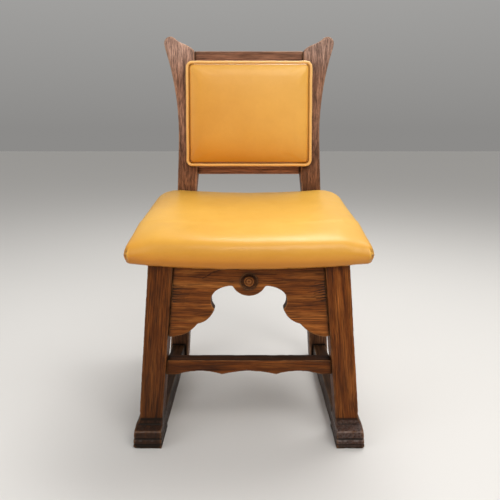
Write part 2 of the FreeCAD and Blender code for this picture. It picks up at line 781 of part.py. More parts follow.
# Seat pad: a plywood board, foam and a leather cover. The body is lofted through plan outlines, then
# its top is cut to the crown, which climbs towards the back.
SEAT_SHARES = [(0.0, 0.10, 0.10), (0.10, 0.035, 0.035), (0.27, 0.0, 0.0), (0.375, 0.0, 0.035),
               (0.46, 0.0, 0.105), (0.52, 0.003, 0.22), (0.565, 0.005, 0.37), (0.605, 0.006, 0.54),
               (0.645, 0.007, 0.75), (0.69, 0.009, 1.04), (1.03, 0.016, 1.36)]
CROWN_SHARES = [(1.10, -1.4), (0.994, 0.0), (0.986, 0.22), (0.967, 0.46), (0.936, 0.67), (0.89, 0.86),
                (0.82, 0.98), (0.74, 1.0), (0.55, 0.86), (0.30, 0.71), (0.0, 0.66)]
CORNER_STEPS = 5


def seat_plan(inset, front_inset):
    front, back = f"(pad_front + {front_inset})", f"(pad_back - {inset})"
    half, corner = f"(pad_front_half - {inset})", f"(pad_front_radius + {inset} / 4)"
    bow = "pad_bow / (pad_front_half - pad_front_radius)"
    return stepped([
        (f"{corner} - {half}", front, "right", bow),
        (f"{half} - {corner}", front, "right", QUARTER_SHARE),
        (half, f"{front} + {corner}"),
        (half, f"{back} - pad_rear_radius", "right", QUARTER_SHARE),
        (f"{half} - pad_rear_radius", back),
        (f"pad_rear_radius - {half}", back, "right", QUARTER_SHARE),
        (f"-{half}", f"{back} - pad_rear_radius"),
        (f"-{half}", f"{front} + {corner}", "right", QUARTER_SHARE),
    ], CORNER_STEPS)


def seat_form(label, shrink, floor, skipped):
    """The crowned pad shape, drawn in by shrink, from its floor up."""
    body = new_body(label)
    sketches = []
    for number, (height_share, side_share, front_share) in enumerate(SEAT_SHARES[skipped:]):
        level = floor if number == 0 else f"frame_height + {height_share} * pad_height"
        sketch = sketch_on(body, f"{label}_outline_{number}", "plan", level)
        draw(sketch, seat_plan(f"({side_share} * pad_height + {shrink})",
                               f"({front_share} * pad_height + {shrink})"))
        sketches.append(sketch)
    loft(body, f"{label}_loft", sketches)
    start = "(2 * overall_depth)"
    side_line = (f"(frame_height + pad_side_height - ({start} + pad_front) * tan(pad_tilt)"
                 f" - ({shrink})) * cos(pad_tilt)")
    half = f"(pad_front_half - {shrink})"
    top = [(f"{across} * {half}", f"{side_line} + {rise} * pad_crown") for across, rise in CROWN_SHARES]
    over = f"{side_line} + 4 * pad_height"
    waste = mirrored(top[:-1], -1) + [top[-1]] + top[-2::-1]
    waste += [(top[0][0], over), (f"-({top[0][0]})", over)]
    crown = sketch_on(body, f"{label}_crown_sketch", "front", f"-{start}")
    crown.AttachmentOffset = FreeCAD.Placement(
        crown.AttachmentOffset.Base, FreeCAD.Rotation(FreeCAD.Vector(1, 0, 0), 1))
    crown.setExpression("AttachmentOffset.Rotation.Angle", formula("pad_tilt"))
    draw(crown, waste)
    made = body.newObject("PartDesign::Pocket", f"{label}_crown")
    made.Profile = crown
    made.setExpression("Length", formula(f"2 * {start}"))
    doc.recompute()
    return body


def loft(body, name, sketches):
    made = body.newObject("PartDesign::AdditiveLoft", name)
    made.Profile = sketches[0]
    made.Sections = sketches[1:]
    made.Ruled = True
    doc.recompute()
    return made


def seat_board(label):
    body = new_body(label)
    pad(body, f"{label}_sheet", "plan", "frame_height", "seat_board_thick",
        seat_plan(*[f"({share} * pad_height + leather_thick + 2 * soft_gap)"
                    for share in SEAT_SHARES[0][1:]]))
    return body


# Back pad: board, foam, leather cover, piping and rear lining, all leaning with the posts
DOME_SHARES = [(0.0, 0.0), (0.40, 0.14), (0.63, 0.55), (0.79, 1.3), (0.90, 2.6), (0.965, 4.4), (1.0, 6.6)]


def back_plan(inset):
    """The pad's outline, a rectangle with rounded corners."""
    low, high, half = f"(back_low + {inset})", f"(back_high - {inset})", f"(back_half - {inset})"
    return [
        (f"back_corner - {half}", low),
        (f"{half} - back_corner", low, "right", QUARTER_SHARE),
        (half, f"{low} + back_corner"),
        (half, f"{high} - back_corner", "right", QUARTER_SHARE),
        (f"{half} - back_corner", high),
        (f"back_corner - {half}", high, "right", QUARTER_SHARE),
        (f"-{half}", f"{high} - back_corner"),
        (f"-{half}", f"{low} + back_corner", "right", QUARTER_SHARE),
    ]


def lean(body):
    """Leans a back-pad piece with the posts: its own zero is the post face at the rake start."""
    body.Placement = FreeCAD.Placement(
        FreeCAD.Vector(0, 0, 0), FreeCAD.Rotation(FreeCAD.Vector(-1, 0, 0), 1))
    body.setExpression("Placement.Rotation.Angle", formula("rake_angle"))
    body.setExpression("Placement.Base.y", formula("post_front"))
    body.setExpression("Placement.Base.z", formula("rake_start"))
    doc.recompute()
    return body


def back_form(label, shrink, rear):
    """The boxed pad with its domed front, drawn in by shrink, back to its rear."""
    body = new_body(label)
    box_front = f"(back_box_depth - ({shrink}))"
    pad(body, f"{label}_box", "front", f"-{box_front}", f"{box_front} - ({rear})",
        stepped(back_plan(f"(back_box_inset + {shrink})"), CORNER_STEPS))
    sketches = []
    for number, (rise_share, inset_share) in enumerate(DOME_SHARES):
        sketch = sketch_on(body, f"{label}_dome_{number}", "front",
                           f"-({box_front} + {rise_share} * back_crown)")
        inset = f"(2 * piping_radius + soft_gap + {inset_share} * back_crown + {shrink})"
        draw(sketch, stepped(back_plan(inset), CORNER_STEPS))
        sketches.append(sketch)
    loft(body, f"{label}_dome", sketches)
    return lean(body)


def back_sheet(label, rear, thick, inset):
    body = new_body(label)
    pad(body, f"{label}_sheet", "front", f"-({rear} + {thick})", thick,
        stepped(back_plan(inset), CORNER_STEPS))
    return lean(body)


def back_piping(label):
    body = new_body(label)
    path = sketch_on(body, f"{label}_path", "front", "-piping_line")
    draw(path, back_plan("piping_radius"))
    section = sketch_on(body, f"{label}_section", "side", "0")
    ways = [(math.cos(math.pi * step / 4), math.sin(math.pi * step / 4)) for step in range(8)]
    draw(section, [(f"{across:.6f} * piping_radius - piping_line",
                    f"back_low + piping_radius + {up:.6f} * piping_radius") for across, up in ways])
    made = body.newObject("PartDesign::AdditivePipe", f"{label}_pipe")
    made.Profile = section
    made.Spine = (path, [f"Edge{number}" for number in range(1, path.GeometryCount + 1)])
    doc.recompute()
    return lean(body)


def hollowed(label, outside, cavity):
    made = doc.addObject("Part::Cut", label)
    made.Base = outside
    made.Tool = cavity
    made.Label = label
    doc.recompute()
    return made


# Assembly of the wooden frame
nodes = {}
for word, side in (("left", -1), ("right", 1)):
    nodes[f"front_leg_{word}"] = front_leg(f"front_leg_{word}", side)
    nodes[f"rear_post_{word}"] = back_post(f"rear_post_{word}", side)
    nodes[f"side_runner_{word}"] = side_runner(f"side_runner_{word}", side)
    nodes[f"side_seat_rail_{word}"] = side_rail(f"side_seat_rail_{word}", side)
    nodes[f"corner_block_front_{word}"] = corner_block(f"corner_block_front_{word}", side, True)
    nodes[f"corner_block_rear_{word}"] = corner_block(f"corner_block_rear_{word}", side, False)
nodes["front_apron"] = front_apron("front_apron")
nodes["apron_boss"] = apron_boss("apron_boss")
nodes["front_stretcher"] = front_stretcher("front_stretcher")
nodes["rear_seat_rail"] = rear_rail("rear_seat_rail")
nodes["crest_rail"] = back_rail("crest_rail", "crest_low", "crest_high")
nodes["lower_back_rail"] = back_rail("lower_back_rail", "lower_rail_bottom", "lower_rail_high")

# Seat and back pads
nodes["seat_board"] = seat_board("seat_board")
nodes["seat_foam"] = seat_form("seat_foam", "leather_thick + soft_gap", "board_top + soft_gap", 1)
cover_outside = seat_form("seat_cover_outside", "0", "hem_low", 0)
cut(cover_outside, "seat_cover_window", "plan", "hem_low - overrun", "hem_thick + overrun",
    rectangle("-hem_window_half", "leg_front - hem_gap", "hem_window_half", "pad_back + overrun"))
cover_cavity = seat_form("seat_cover_cavity", "leather_thick", "frame_height", 0)
nodes["seat_cover"] = hollowed("seat_cover", cover_outside, cover_cavity)
nodes["back_lining"] = back_sheet("back_lining", "0", "back_lining", "back_box_inset")
nodes["back_board"] = back_sheet("back_board", "back_lining", "back_board_thick",
                                 "(back_box_inset + leather_thick + soft_gap)")
nodes["back_foam"] = back_form("back_foam", "leather_thick + soft_gap", "board_front + soft_gap")
nodes["back_cover"] = hollowed("back_cover", back_form("back_cover_outside", "0", "back_lining"),
                               back_form("back_cover_cavity", "leather_thick", "-overrun"))
nodes["back_piping"] = back_piping("back_piping")

# Screws through the corner blocks, up into the seat board and through the posts into the back board
X, Y, Z = FreeCAD.Vector(1, 0, 0), FreeCAD.Vector(0, 1, 0), FreeCAD.Vector(0, 0, 1)
block_screws, seat_screws, back_screws = [], [], []
for side in (-1, 1):
    for end, way in (("front", 1), ("rear", -1)):
        inner = size("leg_top_inner") if end == "front" else size(post_inner_at("frame_height"))
        rail_face = size("apron_back") if end == "front" else size("rear_rail_front")
        corner = size("leg_back") if end == "front" else size("post_front")
        reach, middle = size("block_reach"), size("block_middle")
        grip = size("block_screw_length - rail_bite")
        side_share, seat_share = BLOCK_SCREW_SHARES[end]
        into_cross = FreeCAD.Vector(side * (inner - reach / 2), rail_face + way * grip, middle)
        into_side = FreeCAD.Vector(side * (size("side_rail_inner") - grip),
                                   corner + way * reach * side_share, middle)
        up_seat = FreeCAD.Vector(side * (size("side_rail_inner") - SEAT_SCREW_SHARE * reach),
                                 corner + way * reach * seat_share,
                                 size("block_low + screw_head_height"))
        length = size("block_screw_length")
        block_screws.append(screw_and_hole(into_cross, Y * -way, length))
        block_screws.append(screw_and_hole(into_side, X * side, length))
        seat_screws.append(screw_and_hole(up_seat, Z, size("seat_screw_length")))
    for share in BACK_SCREW_SHARES:
        level = size(f"rake_start + (back_low + {share} * (back_high - back_low)) * cos(rake_angle)")
        face = size(f"post_front + ({level} - rake_start) * tan(rake_angle) - back_lining")
        seat = face - size("back_bite") + size("back_screw_length")
        across = side * size("(post_waist_inner + back_half) / 2")
        back_screws.append(screw_and_hole(FreeCAD.Vector(across, seat, level), Y * -1,
                                          size("back_screw_length")))
tacks = []
hem_level = size("hem_low")
for side in (-1, 1):
    for step in range(TACKS_EACH_SIDE):
        along = size("leg_back") + step * size("post_front - leg_back") / TACKS_EACH_SIDE
        tacks.append(tack_and_hole(FreeCAD.Vector(side * size("hem_window_half + 2 * tack_radius"),
                                                  along, hem_level)))
for share in FRONT_TACK_SHARES:
    across = share * size("leg_top_inner")
    tacks.append(tack_and_hole(FreeCAD.Vector(across, size("leg_front - hem_gap - 2 * tack_radius"),
                                              hem_level)))

holes = {}
for label, pairs in (("corner_block_screws", block_screws), ("seat_fixing_screws", seat_screws),
                     ("back_fixing_screws", back_screws), ("seat_cover_tacks", tacks)):
    nodes[label] = group(label, [solid for solid, _ in pairs])
    holes[label] = group(f"{label}_holes", [hole for _, hole in pairs])
doc.recompute()
for label, fasteners in (
    ("front_apron", ["corner_block_screws"]),
    ("rear_seat_rail", ["corner_block_screws"]),
    ("side_seat_rail_left", ["corner_block_screws"]),
    ("side_seat_rail_right", ["corner_block_screws"]),
    ("corner_block_front_left", ["corner_block_screws", "seat_fixing_screws"]),
    ("corner_block_front_right", ["corner_block_screws", "seat_fixing_screws"]),
    ("corner_block_rear_left", ["corner_block_screws", "seat_fixing_screws"]),
    ("corner_block_rear_right", ["corner_block_screws", "seat_fixing_screws"]),
    ("seat_board", ["seat_fixing_screws", "seat_cover_tacks"]),
    ("seat_cover", ["seat_cover_tacks"]),
    ("rear_post_left", ["back_fixing_screws"]),
    ("rear_post_right", ["back_fixing_screws"]),
    ("back_lining", ["back_fixing_screws"]),
    ("back_board", ["back_fixing_screws"]),
):
    for fastener in fasteners:
        nodes[label] = drilled(label, nodes[label], holes[fastener])

# Checks before anything is written
doc.recompute()
faults = []
for item in doc.Objects:
    if "Invalid" in item.State or "Error" in item.State:
        faults.append(f"{item.Label}: {item.State}")
    if item.TypeId == "PartDesign::Pocket":
        if item.Shape.Volume >= item.BaseFeature.Shape.Volume * UNCUT_SHARE:
            faults.append(f"{item.Label}: cuts nothing")
for label, node in nodes.items():
    if node.Shape.isNull() or not node.Shape.isValid() or not node.Shape.Solids:
        faults.append(f"{label}: shape is not valid")
if faults:
    raise RuntimeError("; ".join(faults))

os.makedirs("parts", exist_ok=True)
for label, node in nodes.items():
    node.Shape.exportStep(f"parts/{label}.step")
    box = node.Shape.BoundBox
    print(f"{label}: {len(node.Shape.Solids)} solids, {node.Shape.Volume / 1000:.1f} cm3, "
          f"x {box.XMin:.1f} to {box.XMax:.1f}, y {box.YMin:.1f} to {box.YMax:.1f}, "
          f"z {box.ZMin:.1f} to {box.ZMax:.1f}")
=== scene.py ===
import bpy
import bmesh
import math
import numpy as np
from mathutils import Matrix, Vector
from mathutils.bvhtree import BVHTree


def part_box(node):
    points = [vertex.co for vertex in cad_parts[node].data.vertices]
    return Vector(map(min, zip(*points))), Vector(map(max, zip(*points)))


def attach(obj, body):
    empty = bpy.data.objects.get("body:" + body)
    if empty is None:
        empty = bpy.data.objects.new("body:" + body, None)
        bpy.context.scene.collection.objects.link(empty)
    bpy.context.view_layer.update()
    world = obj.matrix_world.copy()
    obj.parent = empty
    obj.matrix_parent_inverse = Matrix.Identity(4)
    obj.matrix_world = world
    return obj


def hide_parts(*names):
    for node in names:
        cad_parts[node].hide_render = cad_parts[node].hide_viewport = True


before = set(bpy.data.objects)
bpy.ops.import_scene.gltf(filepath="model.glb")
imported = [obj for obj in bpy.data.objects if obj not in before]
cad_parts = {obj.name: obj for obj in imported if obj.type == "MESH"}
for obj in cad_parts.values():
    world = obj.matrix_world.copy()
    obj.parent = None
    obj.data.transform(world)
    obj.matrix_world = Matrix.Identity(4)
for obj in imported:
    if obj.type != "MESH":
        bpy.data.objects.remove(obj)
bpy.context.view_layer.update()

# The room: a plain pale floor, a large soft light high on the right, a wide fill on the left and a pale
# surround. The camera stands a little above seat height in front of the chair and looks slightly down.
CAMERA_PLACE, CAMERA_TILT = (0.0, -1.1648, 0.632), 8.81
CAMERA_FILM, CAMERA_LENS, CAMERA_SHIFT = 36.0, 36.96, (0.002, -0.085)
FLOOR_EDGE, FLOOR_NEAR, FLOOR_FAR = 9, -5, 13
FLOOR_COLOUR, FLOOR_ROUGH = (0.70, 0.685, 0.665), 0.75
LOW_AIR, HIGH_AIR = (0.262, 0.257, 0.250), (0.45, 0.445, 0.435)

lens = bpy.data.cameras.new("camera")
lens.sensor_width, lens.lens = CAMERA_FILM, CAMERA_LENS
lens.shift_x, lens.shift_y = CAMERA_SHIFT
camera = bpy.data.objects.new("camera", lens)
camera.location = CAMERA_PLACE
camera.rotation_euler = (math.radians(90 - CAMERA_TILT), 0.0, 0.0)
bpy.context.scene.collection.objects.link(camera)
bpy.context.scene.camera = camera
bpy.context.scene.view_settings.view_transform = "Standard"


def feed(node, wanted):
    """Links or sets a node's inputs, which go by name or by number."""
    for key, value in wanted.items():
        if isinstance(value, bpy.types.NodeSocket):
            node.id_data.links.new(value, node.inputs[key])
        elif isinstance(value, tuple):
            node.inputs[key].default_value = (*value, 1)[:len(node.inputs[key].default_value)]
        else:
            node.inputs[key].default_value = value
    return node


def add(tree, kind, wanted=None, **settings):
    """A new node of a tree, with its own settings and its inputs."""
    node = tree.nodes.new(kind)
    for key, value in settings.items():
        setattr(node, key, value)
    return feed(node, wanted or {})


def ramp(value, stops):
    """A value turned into colours, or into greys where the stops hold single numbers."""
    made = add(value.id_data, "ShaderNodeValToRGB", {"Fac": value})
    band = made.color_ramp
    while len(band.elements) < len(stops):
        band.elements.new(0.5)
    for element, (position, colour) in zip(band.elements, stops):
        element.position = position
        element.color = (*colour, 1) if isinstance(colour, tuple) else (colour, colour, colour, 1)
    return made.outputs["Color"]


surround = bpy.data.worlds.new("surround")
surround.use_nodes = True
air = surround.node_tree
toward = add(air, "ShaderNodeTexCoord").outputs["Generated"]
height = add(air, "ShaderNodeSeparateXYZ", {0: toward}).outputs["Z"]
feed(air.nodes["Background"], {"Color": ramp(height, [(0.0, LOW_AIR), (0.45, HIGH_AIR)])})
bpy.context.scene.world = surround


def soft_light(name, place, aim, across, watts, tint):
    lamp = bpy.data.lights.new(name, "AREA")
    lamp.shape = "RECTANGLE"
    lamp.size, lamp.size_y = across
    lamp.energy = watts
    lamp.color = tint
    light = bpy.data.objects.new(name, lamp)
    light.location = place
    light.rotation_euler = (Vector(aim) - Vector(place)).to_track_quat("-Z", "Y").to_euler()
    bpy.context.scene.collection.objects.link(light)


soft_light("high_front", (0.72, -2.1, 2.3), (0.0, 0.0, 0.45), (2.5, 1.2), 48, (1.0, 0.98, 0.95))
soft_light("wide_left", (-2.2, -1.6, 1.5), (0.0, 0.0, 0.4), (1.8, 1.8), 13, (0.95, 0.97, 1.0))
soft_light("overhead", (0.5, 0.65, 2.3), (0.0, 0.0, 0.4), (1.5, 0.8), 34, (1.0, 0.99, 0.97))

floor_mesh = bpy.data.meshes.new("floor")
floor_mesh.from_pydata([(-FLOOR_EDGE, FLOOR_NEAR, 0), (FLOOR_EDGE, FLOOR_NEAR, 0),
                        (FLOOR_EDGE, FLOOR_FAR, 0), (-FLOOR_EDGE, FLOOR_FAR, 0)], [], [(0, 1, 2, 3)])
floor = bpy.data.objects.new("floor", floor_mesh)
bpy.context.scene.collection.objects.link(floor)
plaster = bpy.data.materials.new("pale_floor")
plaster.use_nodes = True
feed(plaster.node_tree.nodes["Principled BSDF"], {"Base Color": FLOOR_COLOUR, "Roughness": FLOOR_ROUGH})
floor_mesh.materials.append(plaster)


# Front legs: each a splayed oak post in one piece with its carved foot, hewn a little unevenly, stained
# and waxed, its arrises rubbed pale and its foot almost black. The left leg and foot are painted darker
# as shade. Painted shade darkens the scotia, the grooves and the foot near the floor, and the feet carry
# dust and pale lines with painted sheen, most on the right foot, which the light falls on.
OAK_TONES = [(0.042, 0.010, 0.0021), (0.155, 0.039, 0.0048), (0.32, 0.101, 0.018), (0.38, 0.17, 0.060)]
# A darker copy of the oak tones, painted shade: for the left leg, which less light reaches, and for the bars
# under the seat.
SHADED_TONES = [(0.030, 0.0078, 0.0018), (0.115, 0.0300, 0.0042), (0.245, 0.076, 0.014),
                (0.30, 0.13, 0.045)]
# The dark glaze, also used for painted shade, and the pale of bare scuffs, also used for painted sheen.
GLAZE_AND_SHADE, BARE_SCUFF_AND_SHEEN = (0.012, 0.007, 0.004), (0.46, 0.41, 0.40)
DARK_DUST, PALE_DUST_AND_SHEEN = (0.016, 0.012, 0.011), (0.150, 0.122, 0.115)
ARRIS_PROUD, GRIME_AND_SHADE_REACH = (0.00015, 0.0011), 0.015
WAVE_RUN, RIPPLE_RUN, BITE_RUN, CHIP_RUN = 0.035, 0.0045, 0.028, 0.013
RIPPLE, BITE = 0.00016, 0.0006
LEG_LEAN = math.radians(4.9)
FOOT_TOP, FOOT_FADE, FOOT_BACK = 0.050, 0.056, -0.151
FOOT_GROOVES, GROOVE_WIDTH, GROOVE_DEPTH = (0.0085, 0.0205), 0.0013, 0.0017
FOOT_NOTCH, NOTCH_WIDTH = 0.0540, 0.0026
FOOT_ARRIS, ARRIS_WIDTH = 0.0365, 0.0011
FOOT_PALE_LINE, PALE_LINE_WIDTH = 0.0175, 0.0009
FOOT_DUST_AND_LIGHT = {"left": 0.30, "right": 0.70}
FOOT_DARK_AND_SHADE = {"left": 0.72, "right": 0.28}


def read(rows, name, width, kind=np.float32):
    """What each row of a mesh's data holds under a name."""
    found = np.zeros(len(rows) * width, kind)
    rows.foreach_get(name, found)
    return found.reshape(-1, width)


def points_of(mesh):
    return read(mesh.vertices, "co", 3).astype(float)


def normals_of(mesh):
    return read(mesh.vertex_normals, "vector", 3).astype(float)


def edges_of(mesh):
    return read(mesh.edges, "vertices", 2, np.int32)


def set_points(mesh, points):
    mesh.vertices.foreach_set("co", points.astype(np.float32).ravel())
    mesh.update()


def eased(points, edges, rounds):
    """The points after rounds of moving each to the middle of its neighbours."""
    one, other = edges[:, 0], edges[:, 1]
    count = np.bincount(edges.ravel(), minlength=len(points))
    for _ in range(rounds):
        total = np.stack([np.bincount(one, points[other, axis], len(points))
                          + np.bincount(other, points[one, axis], len(points))
                          for axis in range(3)], axis=1)
        points = 0.5 * points + 0.5 * total / count[:, None]
    return points


def cloud(places, seed):
    """Smooth noise from -1 to 1 with one knot to a unit."""
    knots = np.random.default_rng(seed).random((32, 32, 32)) * 2 - 1
    cell = np.floor(places).astype(int)
    part = places - cell
    part = part * part * (3 - 2 * part)
    total = np.zeros(len(places))
    for corner in range(8):
        step = np.array([corner & 1, corner >> 1 & 1, corner >> 2 & 1])
        weight = np.prod(np.where(step, part, 1 - part), axis=1)
        at = (cell + step) % 32
        total += weight * knots[at[:, 0], at[:, 1], at[:, 2]]
    return total


def between(low, high, value):
    """A soft step of the value, from 0 at low to 1 at high."""
    share = np.clip((value - low) / (high - low), 0, 1)
    return share * share * (3 - 2 * share)


def keep(mesh, name, values):
    """Marks the mesh's points with values from 0 to 1, for the materials to read."""
    held = mesh.attributes.get(name) or mesh.attributes.new(name, "FLOAT", "POINT")
    held.data.foreach_set("value", np.clip(values, 0, 1).astype(np.float32))


def held_values(mesh, name):
    return read(mesh.attributes[name].data, "value", 1).ravel().astype(float)


def soil_and_shade(mesh, more):
    """Adds dirt and painted shade to what the mesh already has."""
    keep(mesh, "grime_and_shade", held_values(mesh, "grime_and_shade") + more)


def smooth(mesh):
    mesh.polygons.foreach_set("use_smooth", [True] * len(mesh.polygons))


def in_room(name, mesh):
    piece = bpy.data.objects.new(name, mesh)
    bpy.context.scene.collection.objects.link(piece)
    return piece


def settled(piece):
    """Applies what modifiers the piece has."""
    bpy.context.view_layer.update()
    made = bpy.data.meshes.new_from_object(
        piece.evaluated_get(bpy.context.evaluated_depsgraph_get()))
    piece.modifiers.clear()
    piece.data = made
    return made


def even_skin(piece, pitch):
    """Gives the piece an even skin of small faces."""
    skin = piece.modifiers.new("skin", "REMESH")
    skin.mode = "VOXEL"
    skin.voxel_size = pitch
    return settled(piece)


def stock(node, name):
    """A merged copy of a CAD node's mesh, to be worked into a finished piece."""
    shape = bmesh.new()
    shape.from_mesh(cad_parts[node].data)
    bmesh.ops.remove_doubles(shape, verts=shape.verts, dist=1e-6)
    mesh = bpy.data.meshes.new(name)
    shape.to_mesh(mesh)
    shape.free()
    return in_room(name, mesh)


NEIGHBOURS = [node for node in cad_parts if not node.endswith(("screws", "tacks"))]


def closeness(points, own, reach):
    """How near each point is to the neighbouring pieces: 1 where they touch, 0 beyond reach."""
    corners, faces = [], []
    for node in NEIGHBOURS:
        if node in own:
            continue
        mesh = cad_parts[node].data
        first = len(corners)
        corners.extend(vertex.co[:] for vertex in mesh.vertices)
        faces.extend([first + index for index in face.vertices] for face in mesh.polygons)
    tree = BVHTree.FromPolygons(corners, faces)
    near = np.array([tree.find_nearest(point, reach)[3] or reach for point in points.tolist()])
    return 1 - near / reach


def to_size(points, node):
    """The points stretched to fill the box of the CAD node that they stand for."""
    low, high = (np.array(corner[:]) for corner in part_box(node))
    least, most = points.min(axis=0), points.max(axis=0)
    return low + (points - least) * (high - low) / (most - least)


def hewn(piece, node, way, seed, pitch=0.0016, wave=0.0005, chip=0.0012):
    """Works sawn stock into an old hand-finished piece. Way is the axis that the grain follows."""
    mesh = even_skin(piece, pitch)
    edges = edges_of(mesh)
    points = to_size(eased(points_of(mesh), edges, 2), node)
    set_points(mesh, points)
    normals = normals_of(mesh)
    proud = ((points - eased(points, edges, 16)) * normals).sum(axis=1)
    rubbed, sunk = between(*ARRIS_PROUD, proud), between(*ARRIS_PROUD, -proud)
    along = np.full(3, 1.0)
    along[way] = 0.12
    points = points + normals * (wave * cloud(points * along / WAVE_RUN, seed))[:, None]
    points = points + normals * (RIPPLE * cloud(points * along / RIPPLE_RUN, seed + 1))[:, None]
    bite = BITE * (1 + cloud(points / BITE_RUN, seed + 2)) * rubbed
    bite += chip * between(0.30, 0.62, cloud(points / CHIP_RUN, seed + 3)) * rubbed
    points = points - normals * bite[:, None]
    set_points(mesh, points)
    smooth(mesh)
    keep(mesh, "rubbed", rubbed)
    near = closeness(points, [node], GRIME_AND_SHADE_REACH)
    # Dirt and dark joint lines with painted shade: darker in hollows and near the neighbouring pieces.
    keep(mesh, "grime_and_shade", 0.75 * sunk + 0.30 * near ** 2 + np.maximum((near - 0.6) / 0.4, 0) ** 2)
    return mesh


class Finish:
    """A finish mixed from nodes: the material, its shader and the places on the piece."""

    def __init__(self, name):
        self.material = bpy.data.materials.new(name)
        self.material.use_nodes = True
        self.shader = self.material.node_tree.nodes["Principled BSDF"]
        self.place = self.add("ShaderNodeTexCoord").outputs["Object"]

    def add(self, kind, wanted=None, **settings):
        return add(self.material.node_tree, kind, wanted, **settings)

    def noise(self, scale, detail, rough=0.5, distort=0.0, place=None):
        return self.add("ShaderNodeTexNoise", {
            "Vector": place or self.place, "Scale": scale, "Detail": detail, "Roughness": rough,
            "Distortion": distort}).outputs["Fac"]

    def mixed(self, share, first, second, blend="MIX"):
        return self.add("ShaderNodeMix", {0: share, 6: first, 7: second}, data_type="RGBA",
                        blend_type=blend).outputs[2]

    def marked(self, attribute):
        return self.add("ShaderNodeAttribute", attribute_name=attribute).outputs["Fac"]

    def worked(self, operation, first, second):
        return self.add("ShaderNodeMath", {0: first, 1: second}, operation=operation).outputs[0]

    def relief(self, height, strength, distance):
        """Lets a pattern's height show in the light."""
        bump = self.add("ShaderNodeBump", {"Height": height, "Strength": strength, "Distance": distance})
        feed(self.shader, {"Normal": bump.outputs["Normal"]})


def timber(name, way, tones=OAK_TONES, lean=(0, 0, 0)):
    """Stained and waxed wood with its grain along one axis, leaned as its piece leans. The tones are its
    dark, middle, light and rubbed colours. Dust and scuffs with painted sheen show where a piece is marked
    with them, and dirt with painted shade where it is marked darker."""
    dark, mid, light, rubbed = tones
    finish = Finish(name)
    mixed, marked = finish.mixed, finish.marked
    leaned_place = finish.add("ShaderNodeMapping", {"Rotation": lean, "Vector": finish.place}).outputs[0]

    def along_grain(stretch):
        size = tuple(stretch if axis == way else 1.0 for axis in range(3))
        return finish.add("ShaderNodeMapping", {"Scale": size, "Vector": leaned_place}).outputs[0]

    def noise(scale, stretch, detail, rough=0.5, distort=0.0):
        return finish.noise(scale, detail, rough, distort, along_grain(stretch))

    colour = ramp(noise(66, 0.09, 6, 0.68, 0.5), [(0.28, dark), (0.50, mid), (0.72, light)])
    rings = finish.add("ShaderNodeTexWave", {
        "Vector": along_grain(0.06), "Scale": 120, "Distortion": 9.0, "Detail": 3.0, "Detail Scale": 0.9,
        "Detail Roughness": 0.6}, bands_direction="Z" if way == 0 else "X").outputs["Fac"]
    colour = mixed(0.50, colour, ramp(rings, [(0.10, 0.66), (0.75, 1.14)]), "MULTIPLY")
    fibre = noise(390, 0.032, 4, 0.65)
    colour = mixed(0.85, colour, ramp(fibre, [(0.34, 0.38), (0.50, 0.98), (0.68, 1.55)]), "MULTIPLY")
    pore = ramp(noise(800, 0.028, 2), [(0.55, 0.0), (0.64, 1.0)])
    colour = mixed(pore, colour, mixed(0.65, colour, GLAZE_AND_SHADE))
    patches = ramp(noise(9, 0.4, 4, 0.55), [(0.34, 0.70), (0.62, 1.12)])
    colour = mixed(0.8, colour, patches, "MULTIPLY")
    bleached = finish.add("ShaderNodeHueSaturation", {"Color": colour, "Saturation": 0.66, "Value": 1.55})
    colour = mixed(marked("paled"), colour, bleached.outputs["Color"])
    # Dust with painted sheen, where a piece is marked with it.
    dust = ramp(noise(210, 1.0, 4, 0.7), [(0.36, DARK_DUST), (0.66, PALE_DUST_AND_SHEEN)])
    colour = mixed(marked("dust_and_sheen"), colour, dust)
    # Dirt and painted shade darken the wood towards the dark glaze.
    colour = mixed(marked("grime_and_shade"), colour, GLAZE_AND_SHADE)
    patchy = ramp(noise(60, 0.4, 4, 0.6), [(0.38, 0.12), (0.62, 0.85)])
    colour = mixed(finish.worked("MULTIPLY", marked("rubbed"), patchy), colour, rubbed)
    # Pale scuffs with painted sheen.
    colour = mixed(marked("scuffs_and_sheen"), colour, BARE_SCUFF_AND_SHEEN)
    gloss = ramp(noise(45, 0.3, 4, 0.6), [(0.3, 0.36), (0.7, 0.58)])
    feed(finish.shader, {"Base Color": colour, "Roughness": gloss, "Specular IOR Level": 0.12})
    finish.relief(finish.worked("SUBTRACT", fibre, pore), 0.35, 0.0006)
    return finish.material


def fitted(piece, material, slot, *nodes):
    """Gives a finished piece its material, its CAD nodes to stand for and its ride."""
    piece.data.materials.clear()
    piece.data.materials.append(material)
    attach(piece, "root")
    if nodes:
        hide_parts(*nodes)


